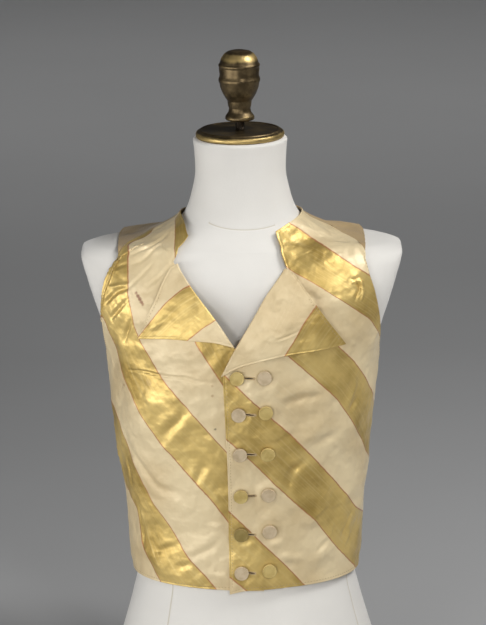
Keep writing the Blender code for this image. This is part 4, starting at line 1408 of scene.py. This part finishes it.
def slit(button, lift_at):
    """A dark strip in a buttonhole's slit: painted shade for the gap inside it."""
    bpy.ops.mesh.primitive_grid_add(x_subdivisions=16, y_subdivisions=2, size=1.0)
    strip = bpy.context.object
    for vertex in strip.data.vertices:
        x, y = vertex.co.x * BUTTONHOLE["length"], vertex.co.y * 2 * BUTTONHOLE["half_width"]
        vertex.co = in_buttonhole(button, x, y, lift_at, BUTTONHOLE["slit_lift"])
    return strip


def at_buttonholes(name, make, finish, lift_at):
    """One small shape for each fastening button's buttonhole, all as one piece."""
    whole = bmesh.new()
    for button in FASTENING_BUTTONS:
        made = make(button, lift_at)
        whole.from_mesh(made.data)
        bpy.data.objects.remove(made)
    return piece_from(name, mesh_of(name, whole), finish)


left_stripes = stripes_from(LEFT_STRIPE_LINES, LEFT_STRIPE_LIFT)
right_stripes = stripes_from(RIGHT_STRIPE_LINES, RIGHT_STRIPE_LIFT)
next_line = [(LEFT_LAPEL_ACROSS, math.hypot(*LEFT_LAPEL_ACROSS))]
left_lapel_stripes = stripes_from(LEFT_LAPEL_LINES, LAPEL_LIFT, next_line)
right_lapel_stripes = stripes_from(RIGHT_LAPEL_LINES, LAPEL_LIFT)

left = edge_stepped(front_places(LEFT_HEM, LEFT_OPENING, LEFT_ARMHOLE, LEFT_SHOULDER_SEAM))
right = edge_stepped(mirrored(front_places(RIGHT_HEM, RIGHT_OPENING, RIGHT_ARMHOLE, RIGHT_SHOULDER_SEAM)))
left_lapel = lapel_places(LEFT_LAPEL)
right_lapel = mirrored(lapel_places(RIGHT_LAPEL))
left_creases = crease_lines(LEFT_CREASES, MARK_LIFT) + pucker_lines(SHOW_BUTTONS, MARK_LIFT)
right_creases = crease_lines(RIGHT_CREASES, MARK_LIFT)
left_lapel_creases = crease_lines(LEFT_LAPEL_CREASES, LAPEL_LIFT)
right_lapel_creases = crease_lines(RIGHT_LAPEL_CREASES, LAPEL_LIFT)
sheets = {
    "front_left_satin": front_sheet(left, left_front_lift, left_stripes, left_creases, False),
    "front_right_satin": front_sheet(right, right_front_lift, right_stripes, right_creases, True),
    "lapel_left_satin": lapel_sheet(
        left_lapel, left_front_lift, left_lapel_stripes, left_lapel_creases, 1
    ),
    "lapel_right_satin": lapel_sheet(
        right_lapel, right_front_lift, right_lapel_stripes, right_lapel_creases, -1
    ),
}
satin_pieces = {}
for name, sheet in sheets.items():
    node = name.removesuffix("_satin")
    wall = SHOWN_LAPEL_WALL if "lapel" in name else SHOWN_WALL
    made = satin_pieces[node] = cloth(name, [sheet], wall, SATIN)
    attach(made, "root")
    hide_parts(node)

back = edge_stepped(back_places(), (True, True, True, False))
shoulder = edge_stepped(shoulder_places(LEFT_SHOULDER_SEAM)[::-1], (True, False, True, True))
shoulder_other = edge_stepped(mirrored(shoulder_places(RIGHT_SHOULDER_SEAM)), (False, True, True, True))
back_lines = [(skin(resampled(line, CREASE_POINTS), EASE), width, height) for line, width, height in BACK_CREASES]
back_sheets = []
for places in (back, shoulder, shoulder_other):
    lift = back_lift(places)
    points = skin(places, lift)
    if places is back:
        away = from_edges(points, (True, True, True, False))
        lift = lift + crease_height(points, back_lines) + waves(points, from_edges(points)) - turned_edge(away)
    back_sheets.append((skin(places, lift), weave_for(places)))
made = cloth("back_cotton", back_sheets, SHOWN_BACK_WALL, TAN)
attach(made, "root")
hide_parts("back")

turns = np.linspace(-180, 180, FORM_AROUND + 1)
ups = np.unique(np.concatenate([np.linspace(0, RING_UP[-1], FORM_UPWARD + 1), RING_UP[-4:]]))
places = np.stack(np.meshgrid(turns, ups, indexing="ij"), axis=-1)
body = bmesh.new()
layer = body.loops.layers.uv.new("body")
add_grid(body, skin(places, -chest_set_back(places)) * MM, places * (FLAT_PER_TURN * MM, MM), layer)
bmesh.ops.remove_doubles(body, verts=body.verts, dist=WELD * MM)
bmesh.ops.holes_fill(body, edges=[edge for edge in body.edges if edge.is_boundary])
form = piece_from("form_jersey", mesh_of("form_jersey", body), JERSEY)
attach(form, "root")
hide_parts("form_body")

foot = RING["height"][-1] + PIECE_GAP
cap = spun("neck_cap_brass", CAP_PROFILE, BRASS, foot, CAP_EASE)
mark_wear(cap, CAP_PROFILE, foot)
foot += CAP_PROFILE[0][1] + PIECE_GAP
thread = [(0.0, STUD_LENGTH)]
for step in range(int(STUD_LENGTH / THREAD_PITCH)):
    top = STUD_LENGTH - step * THREAD_PITCH
    thread += [(STUD_RADIUS - THREAD_DEPTH, top), (STUD_RADIUS, top - THREAD_PITCH / 2)]
thread += [(STUD_RADIUS - THREAD_DEPTH, 0.0), (0.0, 0.0)]
stud = spun("stud_steel", thread, STEEL, foot, STUD_EASE)
foot += STUD_LENGTH + PIECE_GAP
finial = spun("finial_brass", FINIAL_PROFILE, BRASS, foot, FINIAL_EASE)
mark_wear(finial, FINIAL_PROFILE, foot)
turned_pieces = ((cap, "neck_cap", "aged_brass"), (stud, "cap_stud", "dark_steel"), (finial, "finial", "aged_brass"))
for made, node, slot in turned_pieces:
    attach(made, "root")
    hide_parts(node)

master = button_master()
for kind, buttons in (("fastening_button", FASTENING_BUTTONS), ("show_button", SHOW_BUTTONS)):
    for number, values in enumerate(buttons, 1):
        button = dict(zip(BUTTON_COLUMNS, values))
        cover = "dark" if (kind, number) == DARK_BUTTON else button["cover"]
        seat = button_seat(button["turn"], button["up"])
        made = covered_button(f"{kind}_{number}_covered", master, seat, cover, number)
        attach(made, "root")
        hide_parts(f"{kind}_{number}")
bpy.data.objects.remove(master)

stitch = stitch_master()
on_piece = {node: laid_on(made) for node, made in satin_pieces.items()}
fronts = {"front_left": (left, left_front_lift), "front_right": (right, right_front_lift)}
lapels = {"lapel_left": (left_lapel, left_front_lift), "lapel_right": (right_lapel, right_front_lift)}
sewn_on = {}
for node, (places, lift_of) in fronts.items():
    rows = [
        inset_line(places[::-1], lift_of, STITCH_INSET)[ARMHOLE_STITCHES],
        inset_line(np.swapaxes(places, 0, 1), lift_of, STITCH_INSET)[HEM_STITCHES],
    ]
    if node == "front_left":
        rows.append(inset_line(places, lift_of, STITCH_INSET)[EDGE_STITCHES])
    sewn_on[node] = [stitches(node + "_stitches", stitch, rows, on_piece[node])]
for node, (places, lift_of) in lapels.items():
    outer = inset_line(places[::-1], lift_of, STITCH_INSET)[LAPEL_STITCHES]
    sewn_on[node] = [stitches(node + "_stitches", stitch, [outer], on_piece[node])]
bpy.data.objects.remove(stitch)
sewn_on["front_left"] += [
    at_buttonholes("worked_buttonholes", thread_ring, THREAD, on_piece["front_left"]),
    at_buttonholes("buttonhole_slit_shade", slit, SLIT_SHADE, on_piece["front_left"]),
]
for node, sewn in sewn_on.items():
    for piece in sewn:
        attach(piece, "root")


# The studio.


def studio_floor():
    """A wide pale floor."""
    bpy.ops.mesh.primitive_plane_add(size=60.0, location=(0, 0, 0))
    floor = bpy.context.object
    floor.data.materials.append(mottled("studio_floor", ((0.40, 0.40, 0.40), (0.44, 0.44, 0.44)), 1.5, 0.9))
    floor.name = "studio_floor"
    floor.select_set(False)


def lamp(name, where, aim, size, power):
    """A soft lamp at a place in metres, aimed at another."""
    data = bpy.data.lights.new(name, "AREA")
    data.shape = "RECTANGLE"
    data.size, data.size_y = size
    data.energy = power
    made = bpy.data.objects.new(name, data)
    bpy.context.scene.collection.objects.link(made)
    made.location = where
    made.rotation_euler = (Vector(aim) - Vector(where)).to_track_quat("-Z", "Y").to_euler()


def camera():
    """The camera that takes the picture's view."""
    eye, side, up, back = picture_axes()
    data = bpy.data.cameras.new("camera")
    data.sensor_width = SENSOR_MM
    data.lens = SENSOR_MM * CAMERA_DISTANCE / (PICTURE[1] * PIXEL_MM)
    data.clip_end = 100.0
    made = bpy.data.objects.new("camera", data)
    bpy.context.scene.collection.objects.link(made)
    turned = Matrix([side, up, back]).transposed().to_4x4()
    made.matrix_world = Matrix.Translation(Vector(eye * MM)) @ turned
    bpy.context.scene.camera = made


studio_floor()
lamp("high", (1.65, -0.45, 2.45), (0.0, 0.0, 0.5), (1.1, 1.1), 53.0)
lamp("front", (0.8, -2.6, 1.7), (0.0, 0.0, 0.45), (0.5, 0.5), 17.0)
lamp("side", (-2.5, -1.5, 0.38), (0.0, 0.0, 0.3), (1.5, 0.7), 33.0)
lamp("low", (-1.2, -3.0, 0.5), (0.0, 0.0, 0.35), (1.0, 0.8), 27.0)
lamp("backdrop", (0.0, 3.4, 2.4), (0.0, 6.5, 0.0), (6.0, 2.0), 36.0)
sky = bpy.data.lights.new("sky", "SUN")
sky.energy, sky.angle = 0.12, math.radians(60)
sky_lamp = bpy.data.objects.new("sky", sky)
bpy.context.scene.collection.objects.link(sky_lamp)
sky_lamp.rotation_euler = Vector((0.2, -1.0, 1.8)).to_track_quat("Z", "Y").to_euler()
world = bpy.data.worlds.new("studio")
world.use_nodes = True
world.node_tree.nodes["Background"].inputs["Color"].default_value = (0.9, 0.92, 0.95, 1.0)
world.node_tree.nodes["Background"].inputs["Strength"].default_value = 0.06
bpy.context.scene.world = world
bpy.context.scene.view_settings.view_transform = "Standard"
camera()
